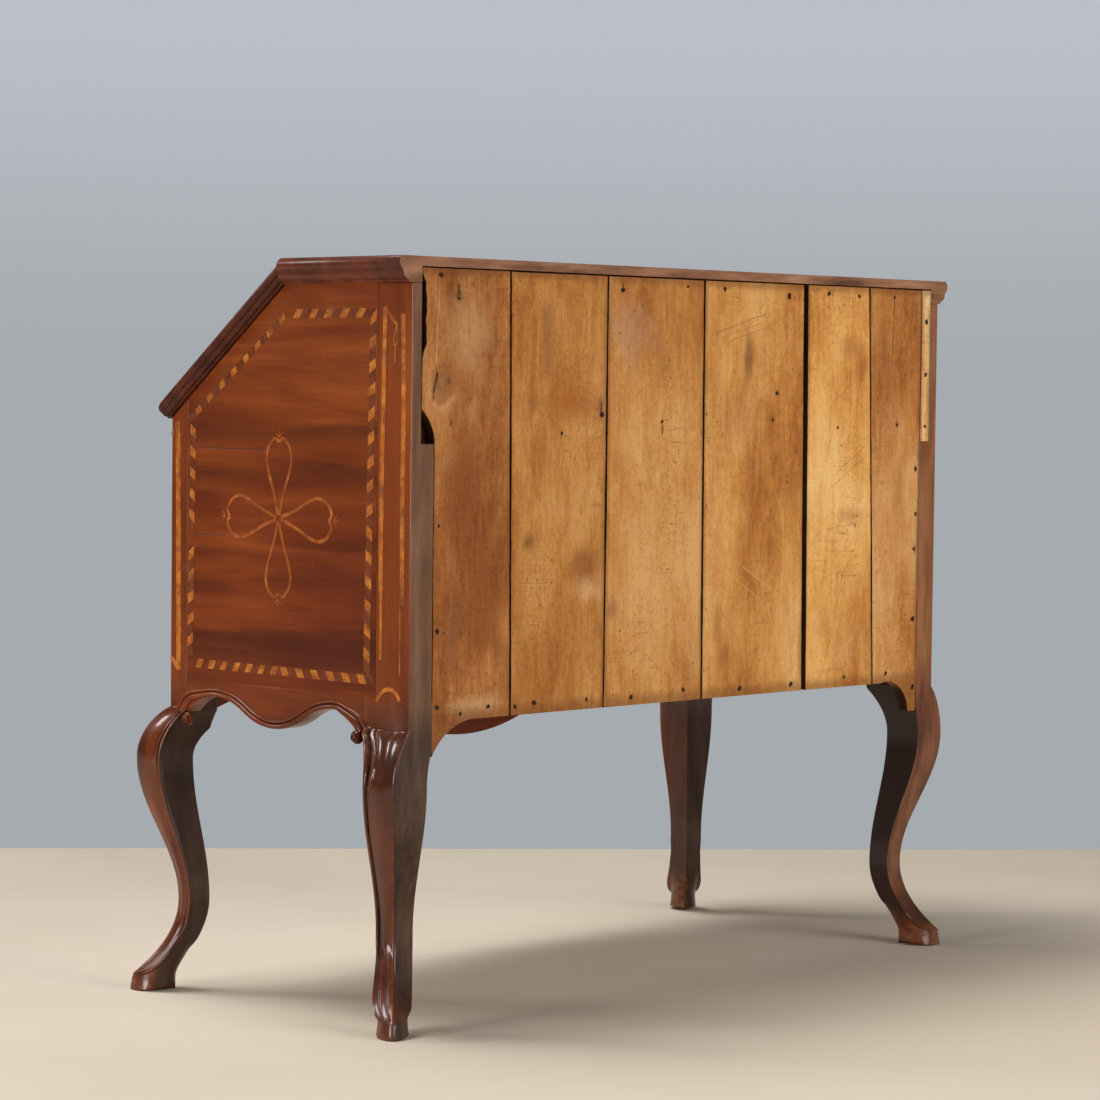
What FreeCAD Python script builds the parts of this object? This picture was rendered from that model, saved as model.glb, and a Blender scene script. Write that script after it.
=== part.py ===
import FreeCAD, Part
import math
import os

from FreeCAD import Vector

# A slant-top writing desk on cabriole legs. Millimetres, Z up, front towards -Y.
# While it is put together the back of the case is the plane y = 0.

# Case
case_width = 1064.0
case_depth = 463.0
case_height = 980.0
side_thick = 24.0
post_width = 50.0
rear_post_deep = 63.0
front_post_deep = 34.0
board_thick = 18.0
lower_opening = 152.0
upper_opening = 138.0

# Slanted front
slope_angle = 37.7
slope_height = 207.0
bed_drop = 2.0
fall_thick = 20.0
rest_gap = 0.3
mitre_gap = 1.5
lip_round = 15.0

# Moulded edge of the top and the fall
top_thick = 33.0
overhang = 23.0
nose_height = 17.0
nose_set = 10.0
bead_set = 17.0
fillet_set = 7.0
fall_overhang = 16.0
fall_nose_height = 11.0
fall_nose_set = 6.0
fall_bead_set = 11.0
fall_fillet_set = 5.0
fillet_height = 3.0
nose_crest = 0.55
bead_crest = 0.6
bead_tuck = 1.0

# Legs: how far the outer corner swings out of the post's corner, and how thick the leg is
shoulder_drop = 40.0
block_drop = 31.0
knee_drop = 70.0
ankle_z = 124.0
blank_side = 59.0
knee_out = 20.5
ankle_in = 20.0
toe_out = 42.0
knee_side = 57.0
ankle_side = 33.0
pastern_side = 40.0
pastern_z = 30.0
foot_tuck = 1.5
front_shift_x = 6.0
front_shift_y = 25.0
rear_shift_x = 5.0
rear_shift_y = -20.0
knee_round = 15.0
ankle_round = 10.0
rear_round = 4.0
post_round = 4.0
hoof_length = 73.5
hoof_width = 42.0
hoof_toe = 26.6
hoof_waist = 0.55
hoof_bend = 0.36
neck_length = 69.0
neck_width = 38.0
neck_z = 24.0
neck_toe = 23.5
hoof_tenon = 1.0
heel_length = 56.5
fringe_toe_z = 20.0
fringe_heel_z = 30.0
fringe_run = 66.0
round_steps = 4

# Aprons: height of the rail over its arches, at its middle drop and at its ends
apron_thick = 24.0
apron_bead = 4.0
apron_bead_wide = 12.0
side_arch_high = 20.0
side_drop_high = 54.0
side_end_high = 45.0
side_arch_pitch = 233.0
front_arch_high = 20.0
front_drop_high = 110.0
front_end_high = 47.0
front_arch_pitch = 660.0

# Back planks, nailed into a rebate; edges run from the +X side to the -X side
plank_thick = 16.0
plank_lap = 29.0
rebate_lap = 20.5
rear_post_face = 39.0
wide_rebate_face = 16.0
wide_rebate_length = 201.0
seam_top = (359.5, 176.6, -15.4, -230.5, -373.0)
seam_bottom = (352.5, 176.7, -19.0, -237.0, -392.0)
seam_width = (2.0, 2.0, 2.5, 9.0, 2.0)
bracket_start = 412.0
bracket_drop = 44.0
bracket_flat = 17.0
bracket_sag = 13.0
bracket_bend = 0.62
worn_notch = 21.5
worn_keep = 5.5
batten_width = 21.0
batten_gap = 0.5

# Drawers and lopers
slide_gap = 0.3
side_gap = 1.0
drawer_back_gap = 30.0
front_thick = 20.0
drawer_wall = 12.0
drawer_floor = 8.0
drawer_floor_lift = 6.0
drawer_wall_drop = 14.0
loper_width = 22.0
loper_height = 60.0
loper_inset = 60.0
partition_thick = 12.0

# Gallery inside the desk
gallery_gap = 10.0
shelf_thick = 8.0
small_drawer_height = 68.0
small_front_thick = 12.0
small_wall = 7.0
small_floor = 5.0
small_tray_drop = 12.0
bay_split = 250.0

# Metalwork
hinge_x = 380.0
hinge_length = 60.0
hinge_leaf = 34.0
hinge_plate = 2.0
knuckle_length = 20.0
knuckle_radius = 3.5
knuckle_room = 4.2
knuckle_gap = 0.4
pin_radius = 1.6
pin_gap = 0.1
plate_thick = 1.5
lock_width = 70.0
lock_height = 44.0
lock_depth = 9.0
lock_edge = 14.0
escutcheon_width = 30.0
escutcheon_height = 46.0
escutcheon_clip = 9.0
keyhole_radius = 3.0
keyhole_slot = 9.0
keyhole_slot_width = 3.0
handle_x = 270.0
handle_span = 84.0
handle_drop = 30.0
bail_radius = 2.5
bail_gap = 0.4
bail_bend = 9.0
post_radius = 5.5
post_reach = 14.0
rosette_radius = 14.0
rosette_thick = 2.5
rosette_bevel = 2.0
post_neck = 3.8
pull_neck = 3.5
pull_ball = 7.0
pull_reach = 16.0
turned_sides = 12
turned_steps = 5
ball_flat_angle = 75.0
wire_sides = 8
flat_enough = 0.0001

half = case_width / 2
slope = math.radians(slope_angle)
along = Vector(0, math.cos(slope), math.sin(slope))
outward = Vector(0, -math.sin(slope), math.cos(slope))
top_under = case_height - top_thick
slope_foot = case_height - slope_height
desk_top = slope_foot - bed_drop
pivot = Vector(0, -case_depth - (slope_foot - desk_top) / math.tan(slope), desk_top)
slope_top_y = -case_depth + (top_under - slope_foot) / math.tan(slope)
corner_y = -case_depth + (case_height - slope_foot - fall_thick / math.cos(slope)) / math.tan(slope)
desk_under = desk_top - fall_thick
upper_z = desk_under - upper_opening
divider_z = upper_z - board_thick
floor_z = divider_z - lower_opening
apron_top = floor_z - board_thick
shoulder_z = apron_top - shoulder_drop
block_z = shoulder_z - block_drop
knee_z = shoulder_z - knee_drop
gallery_depth = -slope_top_y - gallery_gap
plank_bottom = apron_top - plank_lap
bracket_tip = plank_bottom - bracket_drop
wide_rebate_z = top_under - wide_rebate_length
inner_half = half - side_thick
post_inner = half - post_width
housing_inner = post_inner - loper_width - 2 * slide_gap - partition_thick
loper_bed = desk_under - loper_height - slide_gap
shelf_z = desk_top + small_drawer_height + 2 * slide_gap
low_edge = half - rear_post_face
wide_edge = half - wide_rebate_face
bracket_bend_x = bracket_start + (low_edge - bracket_start) * bracket_bend


# Each of these three puts flat points onto one plane.

def at_x(x):
    return lambda y, z: Vector(x, y, z)


def at_y(y):
    return lambda x, z: Vector(x, y, z)


def at_z(z):
    return lambda x, y: Vector(x, y, z)


def outline(place, start, *steps):
    """Closed wire of flat points; a step of two points is an arc through the first to the second."""
    edges = []
    here = start
    for step in steps + (start,):
        if isinstance(step[0], tuple):
            edges.append(Part.Arc(place(*here), place(*step[0]), place(*step[1])).toShape())
            here = step[1]
        elif step != here:
            edges.append(Part.LineSegment(place(*here), place(*step)).toShape())
            here = step
    return Part.Wire(edges)


def slab(wire, travel):
    return Part.Face(wire).extrude(travel)


def box(low, high):
    size = [high[i] - low[i] for i in range(3)]
    return Part.makeBox(*size, Vector(*low))


def rod(radius, length, base, direction):
    return Part.makeCylinder(radius, length, base, direction)


def softened(points, cuts):
    """The same points, but each corner with a cut is rounded in short steps from that far back."""
    made = []
    for i, corner in enumerate(points):
        if not cuts[i]:
            made.append(corner)
            continue
        first = corner + (points[i - 1] - corner).normalize() * cuts[i]
        last = corner + (points[(i + 1) % len(points)] - corner).normalize() * cuts[i]
        for step in range(round_steps + 1):
            share = step / round_steps
            made.append(first * (1 - share) ** 2 + corner * (2 * share * (1 - share)) + last * share ** 2)
    return made


def facet(*corners):
    return Part.Face(Part.makePolygon(corners + corners[:1]))


def skinned(rings):
    """Solid with flat ends and flat facets from ring to ring of points."""
    faces = [facet(*rings[0]), facet(*rings[-1])]
    for near, far in zip(rings, rings[1:]):
        for i in range(len(near)):
            a, b, c, d = near[i - 1], near[i], far[i], far[i - 1]
            twist = (b - a).cross(d - a).dot(c - a)
            if abs(twist) < flat_enough:
                faces.append(facet(a, b, c, d))
            else:
                faces += [facet(a, b, c), facet(a, c, d)]
    shell = Part.makeShell(faces)
    shell.sewShape()
    solid = Part.Solid(shell)
    if solid.Volume < 0:
        solid.reverse()
    return solid


def flip_x(shape):
    return shape.mirror(Vector(0, 0, 0), Vector(1, 0, 0))


def flip_y(shape):
    return shape.mirror(Vector(0, 0, 0), Vector(0, 1, 0))


def onto_slope(shape):
    """Turns a shape made flat, with the hinge line on the X axis, onto the slanted front."""
    turned = shape.copy()
    turned.rotate(Vector(0, 0, 0), Vector(1, 0, 0), slope_angle)
    turned.translate(pivot)
    return turned


# Legs

def ease(share):
    return (1 - math.cos(math.pi * share)) / 2


def swing(z):
    """Outward reach of the leg's outer corner on each axis, before the leg's own shift."""
    if z >= shoulder_z:
        return 0.0
    if z >= knee_z:
        return knee_out * math.sin(math.pi / 2 * (shoulder_z - z) / (shoulder_z - knee_z))
    if z >= ankle_z:
        return knee_out - (knee_out + ankle_in) * ease((knee_z - z) / (knee_z - ankle_z))
    return -ankle_in + (toe_out + ankle_in) * ((ankle_z - z) / ankle_z) ** 2


def lean(z):
    if z >= shoulder_z:
        return 0.0
    return math.sin(math.pi / 2 * min(1.0, (shoulder_z - z) / (shoulder_z - knee_z)))


def foot_share(z):
    """Rises from the ankle to the foot, where the leg grows along its diagonal but not across it."""
    return min(1.0, max(0.0, (ankle_z - z) / (ankle_z - pastern_z))) ** 4


def leg_side(z):
    if z >= ankle_z:
        return knee_side - (knee_side - ankle_side) * ease((knee_z - z) / (knee_z - ankle_z))
    return ankle_side + (pastern_side - ankle_side) * foot_share(z)


def corner_round(z):
    if z >= knee_z:
        return post_round + (knee_round - post_round) * lean(z)
    share = min(1.0, (knee_z - z) / (knee_z - ankle_z))
    return knee_round + (ankle_round - knee_round) * share


def inner_corner(z, shift, block, start_z):
    """Inner corner on one axis; it leaves the square block at a height and runs in a hollow to the knee."""
    knee = knee_out + shift - knee_side
    if z >= start_z:
        return block
    if z >= knee_z:
        return knee + (block - knee) * ((z - knee_z) / (start_z - knee_z)) ** 2
    return swing(z) + shift - leg_side(z)


def leg_section(z, shift_x, shift_y, rear):
    outer_x = swing(z) + shift_x * lean(z)
    outer_y = swing(z) + shift_y * lean(z)
    block_x, start_z = (-post_width, shoulder_z) if rear else (shift_x - blank_side, block_z)
    inner_x = inner_corner(z, shift_x, block_x, start_z)
    inner_y = inner_corner(z, shift_y, shift_y - blank_side, block_z)
    tuck = foot_tuck * foot_share(z)
    corners = [Vector(outer_x, outer_y, z), Vector(inner_x + tuck, outer_y - tuck, z),
               Vector(inner_x, inner_y, z), Vector(outer_x - tuck, inner_y + tuck, z)]
    return softened(corners, [rear_round if rear else corner_round(z), 0, 0, 0])


def hoof_section(z, length, width, toe, shift_x, shift_y):
    """Pointed oval on the leg's diagonal; toe is the reach of its point on each axis."""
    diagonal = Vector(1, 1, 0).normalize()
    across = Vector(1, -1, 0).normalize()
    tip = Vector(toe + shift_x, toe + shift_y, z)
    waist = tip - diagonal * (length * hoof_waist)
    corners = [tip, waist - across * (width / 2), tip - diagonal * length, waist + across * (width / 2)]
    return softened(corners, [width * hoof_bend] * len(corners))


def heights(high, low, count):
    return [high - (high - low) * i / count for i in range(count)]


def leg_post(post_deep, shift_x, shift_y, post_top, rear):
    """Leg and post in one, for the corner where +X and +Y point out of the case."""
    def loft(stations):
        return skinned([leg_section(z, shift_x, shift_y, rear) for z in stations])

    shoulder = loft(heights(shoulder_z, block_z, 3) + [block_z])
    stations = heights(block_z, knee_z, 4) + heights(knee_z, ankle_z, 9) + heights(ankle_z, fringe_toe_z, 6)
    shank = loft(stations + [fringe_toe_z])
    room = 2 * case_depth
    below = Part.makeBox(2 * room, 2 * room, room, Vector(-room, -room, -room))
    fringe_tilt = math.degrees(math.atan2(fringe_heel_z - fringe_toe_z, fringe_run))
    below.rotate(Vector(0, 0, 0), Vector(1, -1, 0), -fringe_tilt)
    fringe_tip = swing(fringe_toe_z)
    below.translate(Vector(fringe_tip + shift_x, fringe_tip + shift_y, fringe_toe_z))
    hidden_z = fringe_heel_z + hoof_tenon
    hoof = skinned([
        hoof_section(0.0, hoof_length, hoof_width, hoof_toe, shift_x, shift_y),
        hoof_section(neck_z, neck_length, neck_width, neck_toe, shift_x, shift_y),
        hoof_section(hidden_z, heel_length, neck_width, swing(hidden_z), shift_x, shift_y),
    ])
    block_x = -post_width if rear else shift_x - blank_side
    block = box((block_x, shift_y - blank_side, shoulder_z), (0, 0, apron_top))
    post = box((-post_width, -post_deep, shoulder_z), (0, 0, post_top))
    return post.fuse([block, shoulder, shank.cut(below), hoof]).removeSplitter()


def below_slope():
    """Everything of the case that may stand under the slanted front and the top board."""
    foot = slope_foot - rest_gap / math.cos(slope)
    shape = outline(at_x(-case_width), (0, 0), (-2 * case_depth, 0), (-2 * case_depth, foot),
                    (-case_depth, foot), (slope_top_y, top_under - rest_gap / math.cos(slope)),
                    (slope_top_y, top_under), (0, top_under))
    return slab(shape, Vector(2 * case_width, 0, 0))


def rear_leg():
    leg = leg_post(rear_post_deep, rear_shift_x, rear_shift_y, top_under, True)
    leg.translate(Vector(half, 0, 0))
    low = box((0, -plank_thick, bracket_tip), (low_edge, blank_side, wide_rebate_z))
    wide = box((0, -plank_thick, wide_rebate_z), (wide_edge, blank_side, case_height))
    return leg.cut([low, wide])


def front_leg():
    leg = flip_y(leg_post(front_post_deep, front_shift_x, front_shift_y, case_height, False))
    leg.translate(Vector(half, -case_depth, 0))
    return leg.common(below_slope())


# Sides and aprons

def side_panel():
    shape = outline(at_x(inner_half), (-rear_post_deep, apron_top), (-rear_post_deep, top_under),
                    (-case_depth + front_post_deep, top_under), (-case_depth + front_post_deep, apron_top))
    return slab(shape, Vector(side_thick, 0, 0)).common(below_slope())


def level_arc(crest, far):
    """Middle point of the arc that leaves the crest level and ends at the far point."""
    run = far[0] - crest[0]
    rise = far[1] - crest[1]
    radius = (run ** 2 + rise ** 2) / (2 * abs(rise))
    half_turn = math.atan2(abs(rise), abs(run))
    return (crest[0] + math.copysign(radius * math.sin(half_turn), run),
            crest[1] + math.copysign(radius * (1 - math.cos(half_turn)), rise))


def wave(low, high, end_z, arch_z, drop_z, pitch):
    """Lower edge of an apron in arcs: a turned-down end, an arch, the middle drop, an arch, an end."""
    middle = (low + high) / 2
    between = (arch_z + drop_z) / 2
    drop = (middle, drop_z)
    steps = []
    for side, end in ((-1, low), (1, high)):
        arch = (middle + side * pitch / 2, arch_z)
        turn = (middle + side * pitch / 4, between)
        steps.append([(level_arc(arch, (end, end_z)), arch, (end, end_z)),
                      (level_arc(arch, turn), turn, arch), (level_arc(drop, turn), drop, turn)])
    down = [(bend, near) for bend, near, far in steps[0]]
    up = [(bend, far) for bend, near, far in reversed(steps[1])]
    return down + up


def lifted(step, rise):
    return tuple((a, z + rise) for a, z in step)


def backwards(start, steps):
    """The same arcs walked from their end to the start."""
    ends = [start] + [step[1] for step in steps]
    return [(steps[i][0], ends[i]) for i in reversed(range(len(steps)))]


def apron(place, low, high, end_high, arch_high, drop_high, pitch, inward, outward_bead):
    """Shaped rail with a raised band along its lower edge."""
    end_z = apron_top - end_high
    start = (low, end_z)
    lower = wave(low, high, end_z, apron_top - arch_high, apron_top - drop_high, pitch)
    upper = [lifted(step, apron_bead_wide) for step in lower]
    band_start = (low, end_z + apron_bead_wide)
    rail = outline(place, start, *lower, (high, apron_top), (low, apron_top))
    band = outline(place, start, *lower, (high, end_z + apron_bead_wide), *backwards(band_start, upper))
    return slab(rail, inward).fuse(slab(band, outward_bead)).removeSplitter()


def side_apron():
    low = -case_depth + blank_side - front_shift_y
    high = rear_shift_y - blank_side
    return apron(at_x(half), low, high, side_end_high, side_arch_high, side_drop_high, side_arch_pitch,
                 Vector(-apron_thick, 0, 0), Vector(apron_bead, 0, 0))


def front_apron():
    reach = half + front_shift_x - blank_side
    return apron(at_y(-case_depth), -reach, reach, front_end_high, front_arch_high, front_drop_high,
                 front_arch_pitch, Vector(0, apron_thick, 0), Vector(0, -apron_bead, 0))


# Boards that run through the case, cut round the posts

def through_board(low_z, high_z, front_y, back_y):
    board = box((-inner_half, front_y, low_z), (inner_half, back_y, high_z))
    for sign in (-1, 1):
        near, far = sorted((sign * post_inner, sign * half))
        front = box((near, -case_depth, low_z), (far, -case_depth + front_post_deep, high_z))
        rear = box((near, -rear_post_deep, low_z), (far, 0, high_z))
        board = board.cut([front, rear])
    return board


def hinge_room():
    base = Vector(-hinge_length / 2 - knuckle_gap, 0, 0)
    room = rod(knuckle_room, hinge_length + 2 * knuckle_gap, base, Vector(1, 0, 0))
    return [room.translated(pivot + Vector(sign * hinge_x, 0, 0)) for sign in (-1, 1)]


def desk_floor():
    board = through_board(desk_under, desk_top, -case_depth, -plank_thick)
    leaves = [leaf_recess().translated(pivot + Vector(sign * hinge_x, 0, -hinge_plate)) for sign in (-1, 1)]
    return board.cut(hinge_room() + leaves)


def loper_housing():
    """Rail under the loper and the partition beside it, in one L shape."""
    bed = post_inner
    wall = housing_inner + partition_thick
    shape = outline(at_y(-case_depth), (housing_inner, upper_z), (bed, upper_z), (bed, loper_bed),
                    (wall, loper_bed), (wall, desk_under), (housing_inner, desk_under))
    return slab(shape, Vector(0, case_depth - rear_post_deep, 0))


def guide_strip(low_z, high_z):
    return box((post_inner, -case_depth + front_post_deep, low_z), (inner_half, -rear_post_deep, high_z))


# Top and fall

def moulded(length, thick, nose, reach, flat, bead, fillet):
    """Board along Y; each long edge, out from the case side, has a rounded nose over a bead and a fillet."""
    under = thick - nose
    swell = under * bead_crest
    crest = thick - nose * nose_crest
    edge = half + fillet
    tuck = half + bead - bead_tuck
    profile = outline(
        at_y(0), (half + flat, thick),
        ((half + reach, crest), (half + bead, under)),
        ((tuck, swell), (edge, fillet_height)), (edge, 0.0),
        (-edge, 0.0), (-edge, fillet_height),
        ((-tuck, swell), (-half - bead, under)),
        ((-half - reach, crest), (-half - flat, thick)))
    return slab(profile, Vector(0, length, 0))


def top_board():
    board = moulded(case_depth, top_thick, nose_height, overhang, nose_set, bead_set, fillet_set)
    board.translate(Vector(0, -case_depth, top_under))
    shape = outline(at_x(-case_width), (0, top_under), (slope_top_y, top_under), (corner_y, case_height),
                    (0, case_height))
    board = board.common(slab(shape, Vector(2 * case_width, 0, 0)))
    rebate = box((-wide_edge, -plank_thick, top_under), (wide_edge, plank_thick, top_under + rebate_lap))
    return board.cut(rebate)


def fall_board():
    board = onto_slope(moulded(case_depth, fall_thick, fall_nose_height, fall_overhang, fall_nose_set,
                               fall_bead_set, fall_fillet_set))
    foot = (pivot.y, pivot.z)
    step = along * mitre_gap
    reach = pivot + outward * (fall_thick - lip_round)
    bend = reach + (along + (outward - along) * math.sqrt(0.5)) * lip_round
    rim = pivot + outward * fall_thick + along * lip_round
    shape = outline(at_x(-case_width), foot, (reach.y, reach.z), ((bend.y, bend.z), (rim.y, rim.z)),
                    (corner_y - step.y, case_height - step.z), (slope_top_y - step.y, top_under - step.z))
    board = board.common(slab(shape, Vector(2 * case_width, 0, 0)))
    leaves = [onto_slope(leaf_recess().translated(Vector(sign * hinge_x, 0, 0))) for sign in (-1, 1)]
    keyhole = onto_slope(rod(keyhole_radius, fall_thick, lock_centre(), Vector(0, 0, 1)))
    return board.cut(hinge_room() + leaves + [lock_room(), keyhole])


# Metalwork on the fall

def slope_length():
    return (top_under - desk_top) / math.sin(slope) - mitre_gap


def lock_centre():
    return Vector(0, slope_length() - lock_edge - lock_height / 2, 0)


def lock_room():
    corner = lock_centre() - Vector(lock_width / 2, lock_height / 2, 0)
    return onto_slope(Part.makeBox(lock_width, lock_height, lock_depth, corner))


def fall_lock():
    keyhole = onto_slope(rod(keyhole_radius, lock_depth, lock_centre(), Vector(0, 0, 1)))
    return lock_room().cut(keyhole)


def keyhole_plate():
    """Upright plate with clipped corners and a keyhole, flat on XY, its back on z = 0."""
    tip = escutcheon_height / 2
    side = escutcheon_width / 2
    clip = escutcheon_clip
    shape = outline(at_z(0), (side - clip, tip), (side, tip - clip), (side, clip - tip), (side - clip, -tip),
                    (clip - side, -tip), (-side, clip - tip), (-side, tip - clip), (clip - side, tip))
    slot = box((-keyhole_slot_width / 2, -keyhole_slot, 0), (keyhole_slot_width / 2, 0, plate_thick))
    hole = rod(keyhole_radius, plate_thick, Vector(0, 0, 0), Vector(0, 0, 1))
    return slab(shape, Vector(0, 0, plate_thick)).cut([hole, slot])


def leaf_plate():
    return box((-hinge_length / 2, knuckle_room, 0),
               (hinge_length / 2, knuckle_room + hinge_leaf, hinge_plate))


def leaf_recess():
    return box((-hinge_length / 2, 0, 0), (hinge_length / 2, knuckle_room + hinge_leaf, hinge_plate))


def knuckle(low_x, high_x):
    bore = pin_radius + pin_gap
    barrel = rod(knuckle_radius, high_x - low_x, Vector(low_x, 0, 0), Vector(1, 0, 0))
    return barrel.cut(rod(bore, high_x - low_x, Vector(low_x, 0, 0), Vector(1, 0, 0)))


def bored(shape):
    bore = rod(pin_radius + pin_gap, hinge_length, Vector(-hinge_length / 2, 0, 0), Vector(1, 0, 0))
    return shape.cut(bore)


def fixed_leaf():
    inner = knuckle_length / 2
    plate = leaf_plate().translated(Vector(0, 0, -hinge_plate))
    pieces = []
    for low, high in ((-hinge_length / 2, -inner), (inner, hinge_length / 2)):
        pieces.append(knuckle(low, high))
        pieces.append(bored(box((low, 0, -hinge_plate), (high, knuckle_room, 0))))
    return plate.fuse(pieces).removeSplitter().translated(pivot)


def moving_leaf():
    reach = knuckle_length / 2 - knuckle_gap
    tab = bored(box((-reach, 0, 0), (reach, knuckle_room, hinge_plate)))
    return onto_slope(leaf_plate().fuse([knuckle(-reach, reach), tab]).removeSplitter())


def both_hinges(shape):
    return Part.makeCompound([shape.translated(Vector(sign * hinge_x, 0, 0)) for sign in (-1, 1)])


# Planks

def first_foot(right):
    """Worn edge of the first plank and the bracket it ends in, from its +X edge across to the next plank."""
    worn = (low_edge + worn_keep, wide_rebate_z + worn_notch)
    bracket = (bracket_bend_x, plank_bottom - bracket_sag)
    return [(wide_edge, wide_rebate_z + 2 * worn_notch), (worn, (low_edge, wide_rebate_z)),
            (low_edge, bracket_tip), (bracket, (bracket_start, plank_bottom)), (right, plank_bottom)]


def last_foot(left, right, right_top):
    bracket = (-bracket_bend_x, plank_bottom - bracket_sag)
    return [(left, plank_bottom), (-bracket_start, plank_bottom),
            (bracket, (-low_edge + bracket_flat, bracket_tip)), (right, bracket_tip),
            (right, wide_rebate_z), (right_top, wide_rebate_z)]


def planks():
    """Six planks; the outer two end below in brackets, the first is wider above and worn at its edge."""
    top = top_under + rebate_lap
    tops = [wide_edge, *seam_top, -wide_edge + batten_width + batten_gap]
    bottoms = [low_edge, *seam_bottom, -low_edge]
    gaps = [0.0, *seam_width, 0.0]
    last = len(seam_top)
    made = {}
    for i in range(last + 1):
        left_top = tops[i] - gaps[i] / 2
        right_top = tops[i + 1] + gaps[i + 1] / 2
        left = bottoms[i] - gaps[i] / 2
        right = bottoms[i + 1] + gaps[i + 1] / 2
        foot = [(left, plank_bottom), (right, plank_bottom)]
        if i == 0:
            foot = first_foot(right)
        if i == last:
            foot = last_foot(left, right, right_top)
        wire = outline(at_y(-plank_thick), (left_top, top), *foot, (right_top, top))
        made["back_plank_%d" % (i + 1)] = slab(wire, Vector(0, plank_thick, 0))
    return made


def back_batten():
    inner = -wide_edge + batten_width
    return box((-wide_edge, -plank_thick, wide_rebate_z), (inner, 0, top_under + rebate_lap))


# Drawers

def drawer(name, half_width, low_z, high_z):
    """Front, two sides, back and floor of a drawer whose front is flush with the case."""
    low = low_z + slide_gap
    high = high_z - side_gap
    wide = half_width - side_gap
    front = -case_depth + front_thick
    back = -plank_thick - drawer_back_gap
    wall_top = high - drawer_wall_drop
    inside = wide - drawer_wall
    sides = [box((x, front, low), (x + drawer_wall, back, wall_top)) for x in (-wide, inside)]
    floor_low = low + drawer_floor_lift
    floor_top = floor_low + drawer_floor
    return {
        name + "_front": box((-wide, -case_depth, low), (wide, front, high)),
        name + "_sides": Part.makeCompound(sides),
        name + "_back": box((-inside, back - drawer_wall, floor_top), (inside, back, wall_top)),
        name + "_floor": box((-inside, front, floor_low), (inside, back, floor_top)),
        name + "_keyhole_plate": on_front(keyhole_plate(), 0, (low + high) / 2),
        name + "_handle_posts": Part.makeCompound(handle_posts(low, high)),
        name + "_right_bail": bail(handle_x, handle_z(low, high)),
        name + "_left_bail": bail(-handle_x, handle_z(low, high)),
    }


def on_front(shape, x, z):
    """Stands a shape made flat on XY upright against the drawer fronts."""
    stood = shape.copy()
    stood.rotate(Vector(0, 0, 0), Vector(1, 0, 0), 90)
    stood.translate(Vector(x, -case_depth, z))
    return stood


def handle_z(low, high):
    return (low + high) / 2 + handle_drop / 2


def turned(profile):
    """Turned solid about Z in flat facets, from steps of radius and height."""
    rings = []
    for radius, height in profile:
        angles = [2 * math.pi * i / turned_sides for i in range(turned_sides)]
        rings.append([Vector(radius * math.cos(a), radius * math.sin(a), height) for a in angles])
    return skinned(rings)


def necked_ball(neck, ball, centre):
    """Ball on a round neck that starts at z = 0; the ball's far end is turned flat."""
    low = -math.acos(neck / ball)
    high = math.radians(ball_flat_angle)
    profile = [(neck, 0.0)]
    for step in range(turned_steps + 1):
        angle = low + (high - low) * step / turned_steps
        profile.append((ball * math.cos(angle), centre + ball * math.sin(angle)))
    return turned(profile)


def handle_posts(low, high):
    """Turned post on a round rosette, drilled for the end of the bail; two to a handle."""
    rosette = turned([(rosette_radius, 0.0), (rosette_radius - rosette_bevel, rosette_thick)])
    post = rosette.fuse(necked_ball(post_neck, post_radius, post_reach))
    hole_radius = (bail_radius + bail_gap) / math.cos(math.pi / wire_sides)
    hole_path = [Vector(end * rosette_radius, 0, post_reach) for end in (-1, 1)]
    post = post.cut(skinned(wire_rings(hole_path, hole_radius, Vector(0, 1, 0))))
    z = handle_z(low, high)
    places = [sign * handle_x + end * handle_span / 2 for sign in (-1, 1) for end in (-1, 1)]
    return [on_front(post, x, z) for x in places]


def wire_rings(path, radius, normal):
    """Rings round a flat path, each in the plane that halves the path's turn there."""
    rings = []
    last = len(path) - 1
    for i, point in enumerate(path):
        before = (path[max(i, 1)] - path[max(i, 1) - 1]).normalize()
        after = (path[min(i + 1, last)] - path[min(i + 1, last) - 1]).normalize()
        ahead = (before + after).normalize()
        side = ahead.cross(normal) / ahead.dot(before)
        angles = [2 * math.pi * (k + 0.5) / wire_sides for k in range(wire_sides)]
        rings.append([point + (normal * math.sin(a) + side * math.cos(a)) * radius for a in angles])
    return rings


def bail(x, z):
    """Stout wire bent into a flat U, its two ends turned inwards through the posts."""
    arm = handle_span / 2 + post_radius + bail_bend
    tail = handle_span / 2 - post_radius
    place = at_y(-case_depth - post_reach)
    corners = [(-tail, 0), (-arm, 0), (-arm, -handle_drop), (arm, -handle_drop), (arm, 0), (tail, 0)]
    cuts = [0, bail_bend, bail_bend, bail_bend, bail_bend, 0]
    path = softened([place(*corner) for corner in corners], cuts)
    return skinned(wire_rings(path, bail_radius, Vector(0, 1, 0))).translated(Vector(x, 0, z))


def pull(reach, ball):
    """Turned knob standing on z = 0."""
    return necked_ball(pull_neck, ball, reach - ball)


def loper():
    """Slide that carries the open fall, with a turned pull on its end."""
    low = loper_bed + slide_gap
    inner = housing_inner + partition_thick + slide_gap
    rear = -rear_post_deep - loper_inset
    bar = box((inner, -case_depth, low), (inner + loper_width, rear, loper_bed + loper_height))
    knob = on_front(pull(pull_reach, pull_ball), inner + loper_width / 2, low + loper_height / 2)
    return bar.fuse(knob)


# Gallery and its small drawers

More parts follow.
